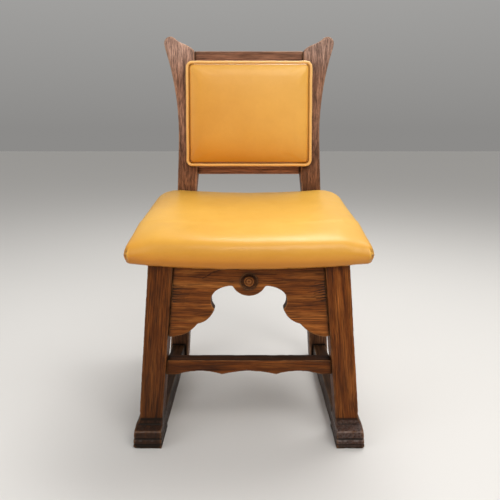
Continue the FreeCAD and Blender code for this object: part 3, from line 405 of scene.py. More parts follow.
for number, (side, sign) in enumerate((("left", -1), ("right", 1))):
    node = f"front_leg_{side}"
    leg = stock(node, f"oak_leg_{side}")
    mesh = hewn(leg, node, 2, 10 + number * 10)
    points, normals = points_of(mesh), normals_of(mesh)
    upright = between(0.8, 0.3, np.abs(normals[:, 2])) * (points[:, 1] < FOOT_BACK)
    lines = upright * sum(np.exp(-((points[:, 2] - level) / GROOVE_WIDTH) ** 2) for level in FOOT_GROOVES)
    set_points(mesh, points - normals * (GROOVE_DEPTH * lines)[:, None])
    foot = between(FOOT_FADE, FOOT_TOP, points[:, 2])
    # Dirt and painted shade: the notch darkens the scotia where the leg meets the foot, and the cut grooves
    # are darkened too.
    notch = 0.8 * np.exp(-((points[:, 2] - FOOT_NOTCH) / NOTCH_WIDTH) ** 2) * upright
    # The foot's dark stain with painted shade: darker near the floor, and the left foot and lower leg darker
    # than the right, as less light falls on them.
    low_dark_and_shade = 0.8 * between(0.0075, 0.003, points[:, 2]) + FOOT_DARK_AND_SHADE[side] * foot
    low_dark_and_shade += 0.55 * FOOT_DARK_AND_SHADE[side] * between(0.26, 0.07, points[:, 2]) * (1 - foot)
    soil_and_shade(mesh, notch + lines + low_dark_and_shade)
    keep(mesh, "rubbed", held_values(mesh, "rubbed") * 0.4 * (1 - np.minimum(lines, 1)))
    # Dust and pale lines on the feet with painted sheen: a greyish cast and bright lines along the foot's
    # rolls, strongest on the right foot, which the light falls on.
    keep(mesh, "dust_and_sheen", FOOT_DUST_AND_LIGHT[side] * foot)
    broken = between(-0.35, 0.45, cloud(points / 0.006, 31 + number))
    scuff_and_sheen = (np.exp(-((points[:, 2] - FOOT_ARRIS) / ARRIS_WIDTH) ** 2)
             + 0.45 * np.exp(-((points[:, 2] - FOOT_PALE_LINE) / PALE_LINE_WIDTH) ** 2) * broken)
    keep(mesh, "scuffs_and_sheen", 1.1 * FOOT_DUST_AND_LIGHT[side] * scuff_and_sheen * upright * (0.5 + 0.5 * broken))
    # The left leg takes the shaded copy of the tones: painted shade.
    fitted(leg, timber(f"leg_oak_{side}", 2, SHADED_TONES if side == "left" else OAK_TONES,
                       lean=(0, sign * LEG_LEAN, 0)), "oak", node)


# Back posts: sawn from raked oak planks to a waisted outline with a horned top. Their upper half is paler
# and greyer. The left post is painted paler than the right, as light where the back pad shades it, and
# painted shade darkens the front of their lower part under the seat.
POST_TONES = [(0.070, 0.025, 0.0105), (0.215, 0.083, 0.035), (0.40, 0.172, 0.078), (0.42, 0.24, 0.14)]
# The left post is made paler than the right: painted light where the back pad shades it.
POST_PAINTED_LIGHT = {"left": 1.20, "right": 1.02}


def toned(tones, share):
    """The tones made paler or darker by a share."""
    return [tuple(share * part for part in tone) for tone in tones]


for number, side in enumerate(("left", "right")):
    node = f"rear_post_{side}"
    post = stock(node, f"oak_post_{side}")
    mesh = hewn(post, node, 2, 40 + number * 10, pitch=0.0018)
    heights = points_of(mesh)[:, 2]
    keep(mesh, "paled", 0.35 * between(0.45, 0.62, heights) + 0.65 * between(0.74, 0.84, heights))
    keep(mesh, "rubbed", 0.7 * held_values(mesh, "rubbed"))
    # Painted shade on the front of the posts' lower part, under the seat.
    soil_and_shade(mesh, 0.60 * between(0.42, 0.33, heights) * between(0.6, 0.2, normals_of(mesh)[:, 1]))
    fitted(post, timber(f"post_oak_{side}", 2, toned(POST_TONES, POST_PAINTED_LIGHT[side])), "oak", node)


# Front apron: a thin oak board with the grain lying across, its lower edge cut to cusps and hollows round
# a middle pendant. It is tenoned to the legs, gouged beside both joints and split once near the middle.
LEFT_GOUGES = [(-0.151, 0.3290, -0.128, 0.3280), (-0.151, 0.3230, -0.121, 0.3220),
               (-0.150, 0.3170, -0.131, 0.3165), (-0.150, 0.3118, -0.117, 0.3122),
               (-0.149, 0.3066, -0.126, 0.3058), (-0.149, 0.3014, -0.135, 0.3008),
               (-0.148, 0.2965, -0.127, 0.2950)]
RIGHT_GOUGES = [(0.150, 0.3380, 0.128, 0.3345), (0.151, 0.3330, 0.118, 0.3270),
                (0.150, 0.3275, 0.131, 0.3250), (0.151, 0.3225, 0.115, 0.3160),
                (0.150, 0.3165, 0.127, 0.3140), (0.150, 0.3110, 0.121, 0.3065),
                (0.149, 0.3055, 0.132, 0.3030), (0.149, 0.3000, 0.125, 0.2965)]
SPLIT = [(-0.090, 0.3445, -0.080, 0.3495), (-0.080, 0.3495, -0.069, 0.3570),
         (-0.069, 0.3570, -0.054, 0.3600)]
SCORE_WIDTH, GOUGE_DEPTH, SPLIT_DEPTH = 0.0011, 0.0020, 0.0012
SCORE_WANDER, WANDER_RUN = 0.0008, 0.006
APRON_TONES = [(0.062, 0.0155, 0.0034), (0.222, 0.0620, 0.0100), (0.42, 0.148, 0.030), (0.40, 0.18, 0.06)]


def scored(mesh, lines, depth, seed):
    """Cuts tapering scores, given as x and z of both ends, into the front of a board."""
    points, normals = points_of(mesh), normals_of(mesh)
    front = between(-0.5, -0.9, normals[:, 1])
    flat = points[:, [0, 2]]
    deep = np.zeros(len(points))
    for x0, z0, x1, z1 in lines:
        start, run = np.array([x0, z0]), np.array([x1 - x0, z1 - z0])
        share = np.clip((flat - start) @ run / (run @ run), 0, 1)
        off = flat - start - share[:, None] * run
        own_knots = np.full(len(flat), x1 * 90)
        off[:, 1] += SCORE_WANDER * cloud(np.column_stack([flat / WANDER_RUN, own_knots]), seed)
        deep = np.maximum(deep, (1 - 0.6 * share) * np.exp(-(np.hypot(*off.T) / SCORE_WIDTH) ** 2))
    points[:, 1] += depth * deep * front
    set_points(mesh, points)
    soil_and_shade(mesh, 1.2 * deep * front)


apron_oak = timber("apron_oak", 0, APRON_TONES)
apron = stock("front_apron", "oak_apron")
mesh = hewn(apron, "front_apron", 0, 70, pitch=0.0013, wave=0.0004)
scored(mesh, LEFT_GOUGES, GOUGE_DEPTH, 71)
scored(mesh, RIGHT_GOUGES, GOUGE_DEPTH, 72)
scored(mesh, SPLIT, SPLIT_DEPTH, 73)
# Painted shade on the board's edges, darkest along the cut lower edge.
soil_and_shade(mesh, 0.75 * between(0.80, 0.35, np.abs(normals_of(mesh)[:, 1])))
fitted(apron, apron_oak, "oak", "front_apron")


# Front stretcher: a low oak bar tenoned between the legs, its lower edge cut in three shallow arches. Its
# top is darkened with painted shade from the seat above.
# The shaded copy of the oak tones: painted shade for the bars under the seat.
cross_oak = timber("cross_oak", 0, SHADED_TONES)
stretcher = stock("front_stretcher", "oak_stretcher")
mesh = hewn(stretcher, "front_stretcher", 0, 90, pitch=0.0013, chip=0.0020)
# Painted shade on the top faces, under the seat.
soil_and_shade(mesh, 0.70 * between(0.6, 0.95, normals_of(mesh)[:, 2]))
fitted(stretcher, cross_oak, "oak", "front_stretcher")


# Floor runners: straight oak bars lying on the floor between each front foot and back post, tenoned at both
# ends. They are the darkest of the wood.
RUNNER_TONES = [(0.012, 0.0055, 0.0027), (0.036, 0.0155, 0.0062), (0.078, 0.034, 0.014),
                (0.17, 0.095, 0.045)]
runner_oak = timber("runner_oak", 1, RUNNER_TONES)
for number, side in enumerate(("left", "right")):
    node = f"side_runner_{side}"
    runner = stock(node, f"oak_runner_{side}")
    hewn(runner, node, 1, 110 + number * 10, pitch=0.0018)
    fitted(runner, runner_oak, "oak", node)


# Back rails: the crest rail and the lower rail, straight oak bars tenoned between the posts. The back pad
# hides part of each, and the lower one is painted paler, as light where the pad's shadow falls on it.
RAIL_TONES = [(0.082, 0.027, 0.010), (0.200, 0.070, 0.026), (0.32, 0.125, 0.050), (0.38, 0.20, 0.11)]
# The lower rail's tones are made paler by a share: painted light.
for number, (node, share) in enumerate((("crest_rail", 1.0), ("lower_back_rail", 1.65))):
    rail = stock(node, f"oak_{node}")
    mesh = hewn(rail, node, 0, 150 + number * 10)
    keep(mesh, "paled", np.full(len(mesh.vertices), 0.35))
    fitted(rail, timber(f"{node}_oak", 0, toned(RAIL_TONES, share)), "oak", node)


# Seat rails and corner blocks: the rest of the seat frame, under the pad. The rails are plain oak, and the
# blocks are beech, screwed into the corners.
side_oak = timber("side_oak", 1)
for number, (node, way) in enumerate((("side_seat_rail_left", 1), ("side_seat_rail_right", 1),
                                      ("rear_seat_rail", 0))):
    rail = stock(node, f"oak_{node}")
    hewn(rail, node, way, 180 + number * 10, pitch=0.0022)
    fitted(rail, side_oak if way == 1 else cross_oak, "oak", node)
BEECH_TONES = [(0.20, 0.11, 0.055), (0.34, 0.21, 0.11), (0.46, 0.31, 0.18), (0.5, 0.36, 0.22)]


def coloured(node, material):
    """Keeps a CAD node's own mesh and gives it a material."""
    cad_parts[node].data.materials.clear()
    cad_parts[node].data.materials.append(material)


beech = timber("block_beech", 0, BEECH_TONES)
for corner in ("front_left", "front_right", "rear_left", "rear_right"):
    coloured(f"corner_block_{corner}", beech)


# Boss: a small disc of the apron's oak, turned with a sunk cove, a raised ring and a dimpled button, and let
# into the apron above its pendant.
BOSS_MIDDLE = (0.0, 0.3378)
BOSS_FACE = -0.2031
BOSS_PROFILE = [(0.0, 0.0004), (0.0012, 0.0002), (0.0022, 0.0014), (0.0040, 0.0017), (0.0054, 0.0011),
                (0.0064, -0.0002), (0.0074, 0.0012), (0.0085, 0.0016), (0.0094, 0.0010), (0.0104, -0.0012),
                (0.0120, -0.0021), (0.0136, -0.0016), (0.0146, -0.0004), (0.0152, 0.0001), (0.0154, -0.0006),
                (0.0154, -0.0038)]
BOSS_SPOKES = 72
BOSS_DIMPLE, BOSS_COVE, BOSS_RIM = 0.0016, 0.0064, 0.0154
BOSS_WEAR, BOSS_WEAR_RUN = 0.00022, 0.0025
profile = bmesh.new()
line = [profile.verts.new((BOSS_MIDDLE[0], BOSS_FACE - rise, BOSS_MIDDLE[1] + reach))
        for reach, rise in BOSS_PROFILE]
line.append(profile.verts.new((BOSS_MIDDLE[0], BOSS_FACE - BOSS_PROFILE[-1][1], BOSS_MIDDLE[1])))
sweep = [profile.edges.new(pair) for pair in zip(line, line[1:])]
bmesh.ops.spin(profile, geom=line + sweep, cent=(BOSS_MIDDLE[0], BOSS_FACE, BOSS_MIDDLE[1]), axis=(0, 1, 0),
               angle=2 * math.pi, steps=BOSS_SPOKES)
bmesh.ops.remove_doubles(profile, verts=profile.verts, dist=1e-6)
bmesh.ops.recalc_face_normals(profile, faces=profile.faces)
boss_mesh = bpy.data.meshes.new("turned_boss")
profile.to_mesh(boss_mesh)
profile.free()
boss = in_room("turned_boss", boss_mesh)
smoother = boss.modifiers.new("smoother", "SUBSURF")
smoother.levels = smoother.render_levels = 2
boss_mesh = settled(boss)
points = points_of(boss_mesh)
points += normals_of(boss_mesh) * (BOSS_WEAR * cloud(points / BOSS_WEAR_RUN, 7))[:, None]
set_points(boss_mesh, points)
smooth(boss_mesh)
reach = np.hypot(points[:, 0] - BOSS_MIDDLE[0], points[:, 2] - BOSS_MIDDLE[1])
# Dirt and painted shade: darker where the disc sinks into the apron, at its rim, in the cove and in the
# dimple.
keep(boss_mesh, "grime_and_shade", 0.8 * between(-0.0002, 0.0012, points[:, 1] - BOSS_FACE)
     + 0.7 * between(BOSS_RIM - 0.001, BOSS_RIM, reach)
     + 0.7 * np.exp(-((reach - BOSS_COVE) / 0.0007) ** 2)
     + 0.6 * between(BOSS_DIMPLE, BOSS_DIMPLE - 0.001, reach))
keep(boss_mesh, "rubbed", 0.5 * between(0.0008, 0.0018, BOSS_FACE - points[:, 1]))
fitted(boss, apron_oak, "oak", "apron_boss")


# Seat pad: foam under one stretched leather cover, rolled over at the front, a little hollow along the
# middle, drawn down at the front corners and climbing to the back. The leather is slit and sewn at both
# front corners and tacked under the board.
SEAT_FLOOR, HEM = 0.3775, 0.0016
SEAT_RISE, SEAT_SIDE_RISE = 0.096, 0.0395
SEAT_CLIMB = math.radians(5.7)
SEAT_FRONT, SEAT_BACK = -0.2227, 0.1639
SEAT_HALF, SEAT_BOW = 0.2355, 0.021
SEAT_CORNER, SEAT_REAR_CORNER = 0.008, 0.050
SEAT_LIP, SEAT_SPREAD = 0.0046, 0.0036
SEAT_DROOP, DROOP_START = 0.0113, -0.10
SEAT_WALL = [(0.0, 0.050, 0.06), (0.10, 0.016, 0.026), (0.27, 0.0, 0.0), (0.375, 0.0, 0.035),
             (0.46, 0.0, 0.105), (0.52, 0.003, 0.22), (0.565, 0.005, 0.37), (0.605, 0.006, 0.54),
             (0.645, 0.007, 0.75), (0.69, 0.009, 1.04), (1.03, 0.016, 1.36)]
SEAT_CROWN = 0.0175
SEAT_TOP = [(0.0, 0.66), (0.30, 0.71), (0.55, 0.86), (0.74, 1.0), (0.82, 0.98), (0.89, 0.86), (0.936, 0.67),
            (0.967, 0.46), (0.986, 0.22), (0.994, 0.0), (1.10, -1.4)]
BOARD_INSET, BOARD_TOP = 0.0122, 0.3895
HEM_WINDOW_HALF, HEM_WINDOW_FRONT = 0.197, -0.213
SLIT_TURN, SLIT_TOP = math.radians(40), (0.412, 0.398)
SLIT_WIDTH, SLIT_DEPTH = 0.0023, 0.0034
FOLD_AHEAD, FOLD_WIDTH, FOLD_RISE = 0.0042, 0.0024, 0.0012
PULL_PITCH, PULL_DEPTH = 0.0075, 0.00025
SKIN_WAVE, SKIN_WAVE_RUN = 0.0004, 0.055
SEAT_PITCH, SEAT_SWELL, SEAT_DRAW = 0.0046, 0.006, 0.9
SEAT_UNDER, SEAT_FORM_SOFT = 0.002, 0.0032
SKIN_PRESSURE, SKIN_FRAMES = 4.0, 20
# The leather's pale and deep colours; its tone mark paints light and shade between them.
LEATHER_PALE = (0.765, 0.432, 0.062)
LEATHER_DEEP = (0.58, 0.200, 0.004)
LEATHER_SHADE = (0.20, 0.058, 0.006)


def seat_outline(inset, front_inset):
    """The pad's outline seen from above, drawn in at the sides and back, and at the front."""
    half, front, back = SEAT_HALF - inset, SEAT_FRONT + front_inset, SEAT_BACK - inset
    corner, rear = SEAT_CORNER + inset / 4, SEAT_REAR_CORNER

    def turn(across, along, radius, start, steps):
        return [(across + radius * math.cos(math.radians(start + 90 * step / steps)),
                 along + radius * math.sin(math.radians(start + 90 * step / steps)))
                for step in range(steps + 1)]

    line = [(share * (half - corner), front - SEAT_BOW * (1 - share * share))
            for share in np.linspace(-1, 1, 97)]
    line += turn(half - corner, front + corner, corner, -90, 6)[1:]
    line += [(half, along) for along in np.linspace(front + corner, back - rear, 60)[1:-1]]
    line += turn(half - rear, back - rear, rear, 0, 16)
    line += [(across, back) for across in np.linspace(half - rear, rear - half, 80)[1:-1]]
    line += turn(rear - half, back - rear, rear, 90, 16)
    line += [(-half, along) for along in np.linspace(back - rear, front + corner, 60)[1:-1]]
    line += turn(corner - half, front + corner, corner, 180, 6)[:-1]
    return np.array(line)


def crown_at(across, along):
    """The height of the pad's top."""
    return (SEAT_FLOOR + SEAT_SIDE_RISE + (along - SEAT_FRONT) * math.tan(SEAT_CLIMB)
            + SEAT_CROWN * np.interp(np.abs(across) / SEAT_HALF, *zip(*SEAT_TOP)))


def skinned(name, rings):
    """A closed form over a stack of rings of equally many points."""
    count = len(rings[0])
    faces = []
    for level in range(len(rings) - 1):
        low, high = level * count, (level + 1) * count
        faces += [(low + at, low + (at + 1) % count, high + (at + 1) % count, high + at)
                  for at in range(count)]
    faces.append(tuple(range(count))[::-1])
    faces.append(tuple(range((len(rings) - 1) * count, len(rings) * count)))
    mesh = bpy.data.meshes.new(name)
    mesh.from_pydata(np.concatenate(rings).tolist(), [], faces)
    return in_room(name, mesh)


def seat_shape(name, shrink, soft=0.0015):
    """The foam's form, drawn in by shrink. Soft is how gently its wall turns over into its top."""
    rings = []
    heights, side_insets, front_insets = zip(*SEAT_WALL)
    fine = np.linspace(0, 1.03, 207)
    window = np.hanning(31) / np.hanning(31).sum()
    padded = np.pad(np.interp(fine, heights, front_insets), 15, "reflect", reflect_type="odd")
    front_insets = np.convolve(padded, window, "valid")
    side_insets, heights = np.interp(fine, heights, side_insets), fine
    for height in np.concatenate([np.linspace(0, 0.30, 9), np.linspace(0.33, 0.72, 16),
                                  np.linspace(0.76, 1.03, 8)]):
        ring = seat_outline(np.interp(height, heights, side_insets) * SEAT_RISE + shrink,
                            np.interp(height, heights, front_insets) * SEAT_RISE + shrink)
        level = SEAT_FLOOR - HEM if height == 0 else SEAT_FLOOR + height * SEAT_RISE
        top = crown_at(*ring.T) - shrink
        rings.append(np.column_stack([ring, -soft * np.log(np.exp(-level / soft) + np.exp(-top / soft))]))
    edge, middle = rings[-1][:, :2], np.array([0.0, 0.5 * (rings[-1][:, 1].min() + SEAT_BACK)])
    for share in np.linspace(0.96, 0.02, 26):
        ring = middle + share * (edge - middle)
        rings.append(np.column_stack([ring, crown_at(*ring.T) - shrink]))
    return skinned(name, rings)


def puffed(piece, pitch, held, most):
    """Lets air pressure swell the skin from where it is held, by at most so much, as foam fills it."""
    mesh = even_skin(piece, pitch)
    start = eased(points_of(mesh), edges_of(mesh), 2)
    set_points(mesh, start)
    kept = piece.vertex_groups.new(name="held")
    kept.add([int(index) for index in np.nonzero(held(start))[0]], 1.0, "REPLACE")
    cloth = piece.modifiers.new("skin_cloth", "CLOTH")
    cloth.settings.use_pressure = True
    cloth.settings.uniform_pressure_force = SKIN_PRESSURE
    cloth.settings.vertex_group_mass = "held"
    cloth.settings.quality = 5
    cloth.settings.effector_weights.gravity = 0
    cloth.collision_settings.use_collision = False
    for count in range(1, SKIN_FRAMES + 1):
        bpy.context.scene.frame_set(count)
    seen = piece.evaluated_get(bpy.context.evaluated_depsgraph_get())
    moved = points_of(seen.data) - start
    piece.modifiers.clear()
    piece.vertex_groups.clear()
    bpy.context.scene.frame_set(1)
    far = np.linalg.norm(moved, axis=1)
    moved *= (most * np.tanh(far / most) / np.maximum(far, 1e-9))[:, None]
    set_points(mesh, start + moved)
    finer = piece.modifiers.new("finer", "SUBSURF")
    finer.levels = finer.render_levels = 1
    return settled(piece)


def hollowed(piece, *rooms):
    """Takes the room of the board out of a pad. A room is a bottom ring and a top ring."""
    for number, room in enumerate(rooms):
        block = skinned(f"room_{number}", room)
        taken = piece.modifiers.new("room", "BOOLEAN")
        taken.operation, taken.solver, taken.object = "DIFFERENCE", "EXACT", block
        settled(piece)
        bpy.data.objects.remove(block)
    return piece.data


def leather(name, pale=LEATHER_PALE, deep=LEATHER_DEEP):
    """Smooth painted leather with fine pores. Its tone attribute runs from deep to pale, painting shade and
    light, and a second mark draws it towards painted shade.
    """
    finish = Finish(name)
    noise, mixed = finish.noise, finish.mixed
    colour = mixed(finish.marked("tone"), deep, pale)
    clouds = ramp(noise(7, 4, 0.6), [(0.30, (0.93, 0.90, 0.82)), (0.65, (1.03, 1.04, 1.08))])
    colour = mixed(1.0, colour, clouds, "MULTIPLY")
    specks = ramp(noise(130, 3, 0.6), [(0.35, (0.95, 0.93, 0.88)), (0.65, (1.03, 1.03, 1.04))])
    colour = mixed(0.2, colour, specks, "MULTIPLY")
    # Painted shade, drawn towards the shade colour.
    colour = mixed(finish.marked("grime_and_shade"), colour, LEATHER_SHADE)
    shine = ramp(noise(30, 3), [(0.3, 0.37), (0.7, 0.48)])
    feed(finish.shader, {"Base Color": colour, "Roughness": shine, "Specular IOR Level": 0.45,
                         "Specular Tint": (1.0, 0.93, 0.76), "Coat Weight": 0.28, "Coat Roughness": 0.33})
    cells = finish.add("ShaderNodeTexVoronoi", {"Vector": finish.place, "Scale": 900},
                       feature="DISTANCE_TO_EDGE").outputs["Distance"]
    finish.relief(finish.worked("ADD", cells, noise(260, 3, 0.6)), 0.08, 0.0004)
    return finish.material


def level_ring(ring, height):
    return np.column_stack([ring, np.full(len(ring), height)])


def drawn_to(piece, form, share):
    """The piece's points, drawn by a share of the way to the form that the foam was cut to."""
    tree = BVHTree.FromPolygons(points_of(form.data).tolist(),
                                [face.vertices[:] for face in form.data.polygons])
    points = points_of(piece.data)
    points += share * (np.array([tree.find_nearest(point)[0][:] for point in points.tolist()]) - points)
    bpy.data.objects.remove(form)
    return points


def past_slit(points):
    """How far points near a front corner lie past its slit, round the corner."""
    turn = np.arctan2(points[:, 1] - SEAT_FRONT - SEAT_CORNER,
                      np.abs(points[:, 0]) - SEAT_HALF + SEAT_CORNER)
    return (turn + SLIT_TURN) * SEAT_CORNER


seat = seat_shape("leather_seat", SEAT_UNDER)
mesh = puffed(seat, SEAT_PITCH, lambda points: points[:, 2] < SEAT_FLOOR + 0.004, SEAT_SWELL)
points = to_size(drawn_to(seat, seat_shape("seat_form", 0.0, SEAT_FORM_SOFT), SEAT_DRAW), "seat_cover")
points[:, 0] += (SEAT_SPREAD * np.clip(points[:, 0] / SEAT_HALF, -1, 1) ** 3
                 * between(0.08, -0.16, points[:, 1]) * between(0.434, 0.398, points[:, 2]))
points[:, 2] -= (SEAT_DROOP * np.clip((points[:, 1] - DROOP_START) / (SEAT_FRONT - DROOP_START), 0, 1)
                 * between(0.065, 0.006, SEAT_HALF - np.abs(points[:, 0]))
                 * between(0.382, 0.410, points[:, 2]))
low = points[:, 2] < SEAT_FLOOR + 0.0002
points[low, 2] = SEAT_FLOOR - HEM
roll = (between(-0.170, -0.200, points[:, 1]) * between(0.390, 0.408, points[:, 2])
        * between(0.012, 0.045, SEAT_HALF - np.abs(points[:, 0])))
points += roll[:, None] * (eased(points, edges_of(mesh), 60) - points)
set_points(mesh, points)
normals = normals_of(mesh)
past = past_slit(points)
near_corner = ((np.abs(points[:, 0]) > SEAT_HALF - 0.030) & (points[:, 1] < SEAT_FRONT + 0.030)
               & (normals[:, 2] > -0.6))
slit_rise = between(*SLIT_TOP, points[:, 2]) * near_corner
slit = np.exp(-(past / SLIT_WIDTH) ** 2) * slit_rise
fold = np.exp(-((past + FOLD_AHEAD) / FOLD_WIDTH) ** 2) * slit_rise
pull = (np.cos(points[:, 0] / PULL_PITCH + 2 * cloud(points / 0.05, 401))
        * between(0.396, 0.381, points[:, 2]) * between(-0.19, -0.21, points[:, 1]))
points[:, 2] -= (SEAT_LIP * (1 - (points[:, 0] / SEAT_HALF) ** 2) * between(0.402, 0.378, points[:, 2])
                 * between(-0.2145, -0.223, points[:, 1]))
points += normals * (FOLD_RISE * fold - SLIT_DEPTH * slit + PULL_DEPTH * pull
                     + SKIN_WAVE * cloud(points / SKIN_WAVE_RUN, 402))[:, None]
set_points(mesh, points)
window = np.array([(-HEM_WINDOW_HALF, HEM_WINDOW_FRONT), (HEM_WINDOW_HALF, HEM_WINDOW_FRONT),
                   (HEM_WINDOW_HALF, SEAT_BACK + 0.02), (-HEM_WINDOW_HALF, SEAT_BACK + 0.02)])
board_ring = seat_outline(BOARD_INSET - 0.0004, BOARD_INSET - 0.0004)
mesh = hollowed(seat, [level_ring(board_ring, SEAT_FLOOR), level_ring(board_ring, BOARD_TOP + 0.0003)],
                [level_ring(window, SEAT_FLOOR - 0.01), level_ring(window, SEAT_FLOOR + 0.0002)])
points = points_of(mesh)
past, heights = past_slit(points), points[:, 2]
at_slit = ((np.abs(points[:, 0]) > SEAT_HALF - 0.025) & (points[:, 1] < SEAT_FRONT + 0.020)
           & (heights > SEAT_FLOOR - 0.001)) * between(0.410, 0.398, heights)
# Painted light and shade: the tone grows paler up the front roll and over the top, deeper towards the bottom
# and a little paler to the right, with a painted highlight on the fold beside each slit.
keep(mesh, "tone", 0.04 + 0.46 * between(0.380, 0.408, heights) + 0.42 * between(0.404, 0.440, heights)
     + 0.08 * points[:, 0] / SEAT_HALF + 0.5 * np.exp(-((past + FOLD_AHEAD) / 0.0018) ** 2) * at_slit)
# Painted shade: in the slits, along the bottom and near the neighbouring pieces.
keep(mesh, "grime_and_shade", 0.95 * np.exp(-(past / 0.0018) ** 2) * at_slit + 0.30 * between(0.3900, 0.3800, heights)
     + closeness(points, ["seat_cover", "seat_foam", "seat_board"], 0.005) ** 2)
smooth(mesh)
fitted(seat, leather("seat_leather"), "leather", "seat_cover", "seat_foam")


# Back pad: a boxed leather cushion on a board, with a crowned front and a sewn front seam. It is screwed on
# through the posts and leans with them.
RAKE = math.radians(4.5)
POST_FACE, RAKE_START = 0.16587, 0.43998
BACK_LOW, BACK_HIGH, BACK_HALF = 0.0935, 0.3573, 0.1592
BACK_CORNER = 0.012
BOX_DEPTH, BOX_INSET, BACK_CROWN = 0.026, 0.0015, 0.012
PIPING = 0.0035
SEAM_CORNER, SEAM_IN, SEAM_WIDTH, SEAM_DEPTH = 0.0193, 0.0078, 0.0016, 0.0012
SEAM_START = (0.020, 0.025)
BACK_PITCH, BACK_SWELL, BACK_DRAW = 0.0038, 0.0035, 0.7
BACK_UNDER, BACK_REAR = 0.0012, 0.0016
BOARD_ROOM, BOARD_ROOM_TOP = 0.0036, 0.0106
BACK_PALE, BACK_DEEP = (0.82, 0.448, 0.080), (0.63, 0.225, 0.006)
DOME = [(0.0, 0.0), (0.40, 0.14), (0.63, 0.55), (0.79, 1.3), (0.90, 2.6), (0.965, 4.4), (1.0, 6.6)]


def evenly(ring, count):
    """So many points at even steps round a closed ring, and how far along it each lies."""
    closed = np.vstack([ring, ring[:1]])
    run = np.r_[0, np.cumsum(np.linalg.norm(np.diff(closed, axis=0), axis=1))]
    steps = np.linspace(0, run[-1], count, endpoint=False)
    return np.column_stack([np.interp(steps, run, closed[:, axis]) for axis in range(2)]), steps


def back_outline(inset):
    """The pad's outline seen from the front, drawn in by inset, as across and up along the posts."""
    low, high, half = BACK_LOW + inset, BACK_HIGH - inset, BACK_HALF - inset
    line = []
    for across, up, start in ((half - BACK_CORNER, low + BACK_CORNER, -90),
                              (half - BACK_CORNER, high - BACK_CORNER, 0),
                              (BACK_CORNER - half, high - BACK_CORNER, 90),
                              (BACK_CORNER - half, low + BACK_CORNER, 180)):
        line += [(across + BACK_CORNER * math.cos(math.radians(start + 90 * step / 8)),
                  up + BACK_CORNER * math.sin(math.radians(start + 90 * step / 8))) for step in range(9)]
    return evenly(np.array(line), 300)[0]


def leaned(across, up, out):
    """Points of the back pad in the room. Out is measured forwards from the posts' front face."""
    return np.column_stack([across,
                            POST_FACE - out * math.cos(RAKE) + up * math.sin(RAKE),
                            RAKE_START + out * math.sin(RAKE) + up * math.cos(RAKE)])


def back_ring(inset, out):
    return leaned(*back_outline(inset).T, out)


def flattened(points):
    """Across, up along the posts and out from their front face, the other way about."""
    along, level = points[:, 1] - POST_FACE, points[:, 2] - RAKE_START
    return (points[:, 0], along * math.sin(RAKE) + level * math.cos(RAKE),
            level * math.sin(RAKE) - along * math.cos(RAKE))


def back_shape(name, shrink):
    """The foam's form, drawn in by shrink, from its rear to its crowned front."""
    rings = [back_ring(BOX_INSET + shrink, out) for out in np.linspace(BACK_REAR, BOX_DEPTH - shrink, 8)]
    rises, insets = zip(*DOME)
    for share in np.linspace(0, 1, 26):
        inset = share * share * insets[-1]
        rings.append(back_ring(2 * PIPING + inset * BACK_CROWN + shrink,
                               BOX_DEPTH - shrink + BACK_CROWN * np.interp(inset, insets, rises)))
    edge = rings[-1]
    rings += [edge.mean(axis=0) + share * (edge - edge.mean(axis=0)) for share in (0.7, 0.4, 0.1)]
    return skinned(name, rings)


def seam_gap(points):
    """How far points of the back pad's front lie inside its outline."""
    across, up, _ = flattened(points)
    side = np.maximum(np.abs(across) - BACK_HALF + SEAM_CORNER, 0)
    end = np.maximum(np.abs(up - (BACK_LOW + BACK_HIGH) / 2) - (BACK_HIGH - BACK_LOW) / 2 + SEAM_CORNER, 0)
    return SEAM_CORNER - np.hypot(side, end)


def seam_at(points):
    """How near points of the back pad's front lie to its sewn seam: 1 in its middle, 0 away from it."""
    near = np.exp(-((seam_gap(points) - SEAM_IN) / SEAM_WIDTH) ** 2)
    return near * between(*SEAM_START, flattened(points)[2])


back = back_shape("leather_back", BACK_UNDER)
mesh = puffed(back, BACK_PITCH, lambda points: flattened(points)[2] < 0.006, BACK_SWELL)
points = to_size(drawn_to(back, back_shape("back_form", 0.0), BACK_DRAW), "back_cover")
set_points(mesh, points)
points -= normals_of(mesh) * (SEAM_DEPTH * seam_at(points) + 0.0002 * cloud(points / 0.05, 411))[:, None]
set_points(mesh, points)
mesh = hollowed(back, [back_ring(BOARD_ROOM, -0.002), back_ring(BOARD_ROOM, BOARD_ROOM_TOP)])
points = points_of(mesh)
across, up, out = flattened(points)
height_share = (up - BACK_LOW) / (BACK_HIGH - BACK_LOW)
# Painted light and shade: the tone grows paler towards the top, with a painted highlight along the top roll,
# and paler to the right.
keep(mesh, "tone", 0.02 + 0.35 * between(0.0, 0.35, height_share) + 0.36 * height_share
     + 0.24 * between(0.86, 1.0, height_share) + 0.22 * across / BACK_HALF)
own_nodes = ["back_cover", "back_foam", "back_piping", "back_board", "back_lining"]
# Painted shade: along the sewn seam, towards the bottom and near the neighbouring pieces.
keep(mesh, "grime_and_shade", 0.42 * seam_at(points) + 0.18 * between(0.16, 0.02, height_share)
     + closeness(points, own_nodes, 0.005) ** 2)
smooth(mesh)
fitted(back, leather("back_leather", BACK_PALE, BACK_DEEP), "leather", "back_cover", "back_foam")


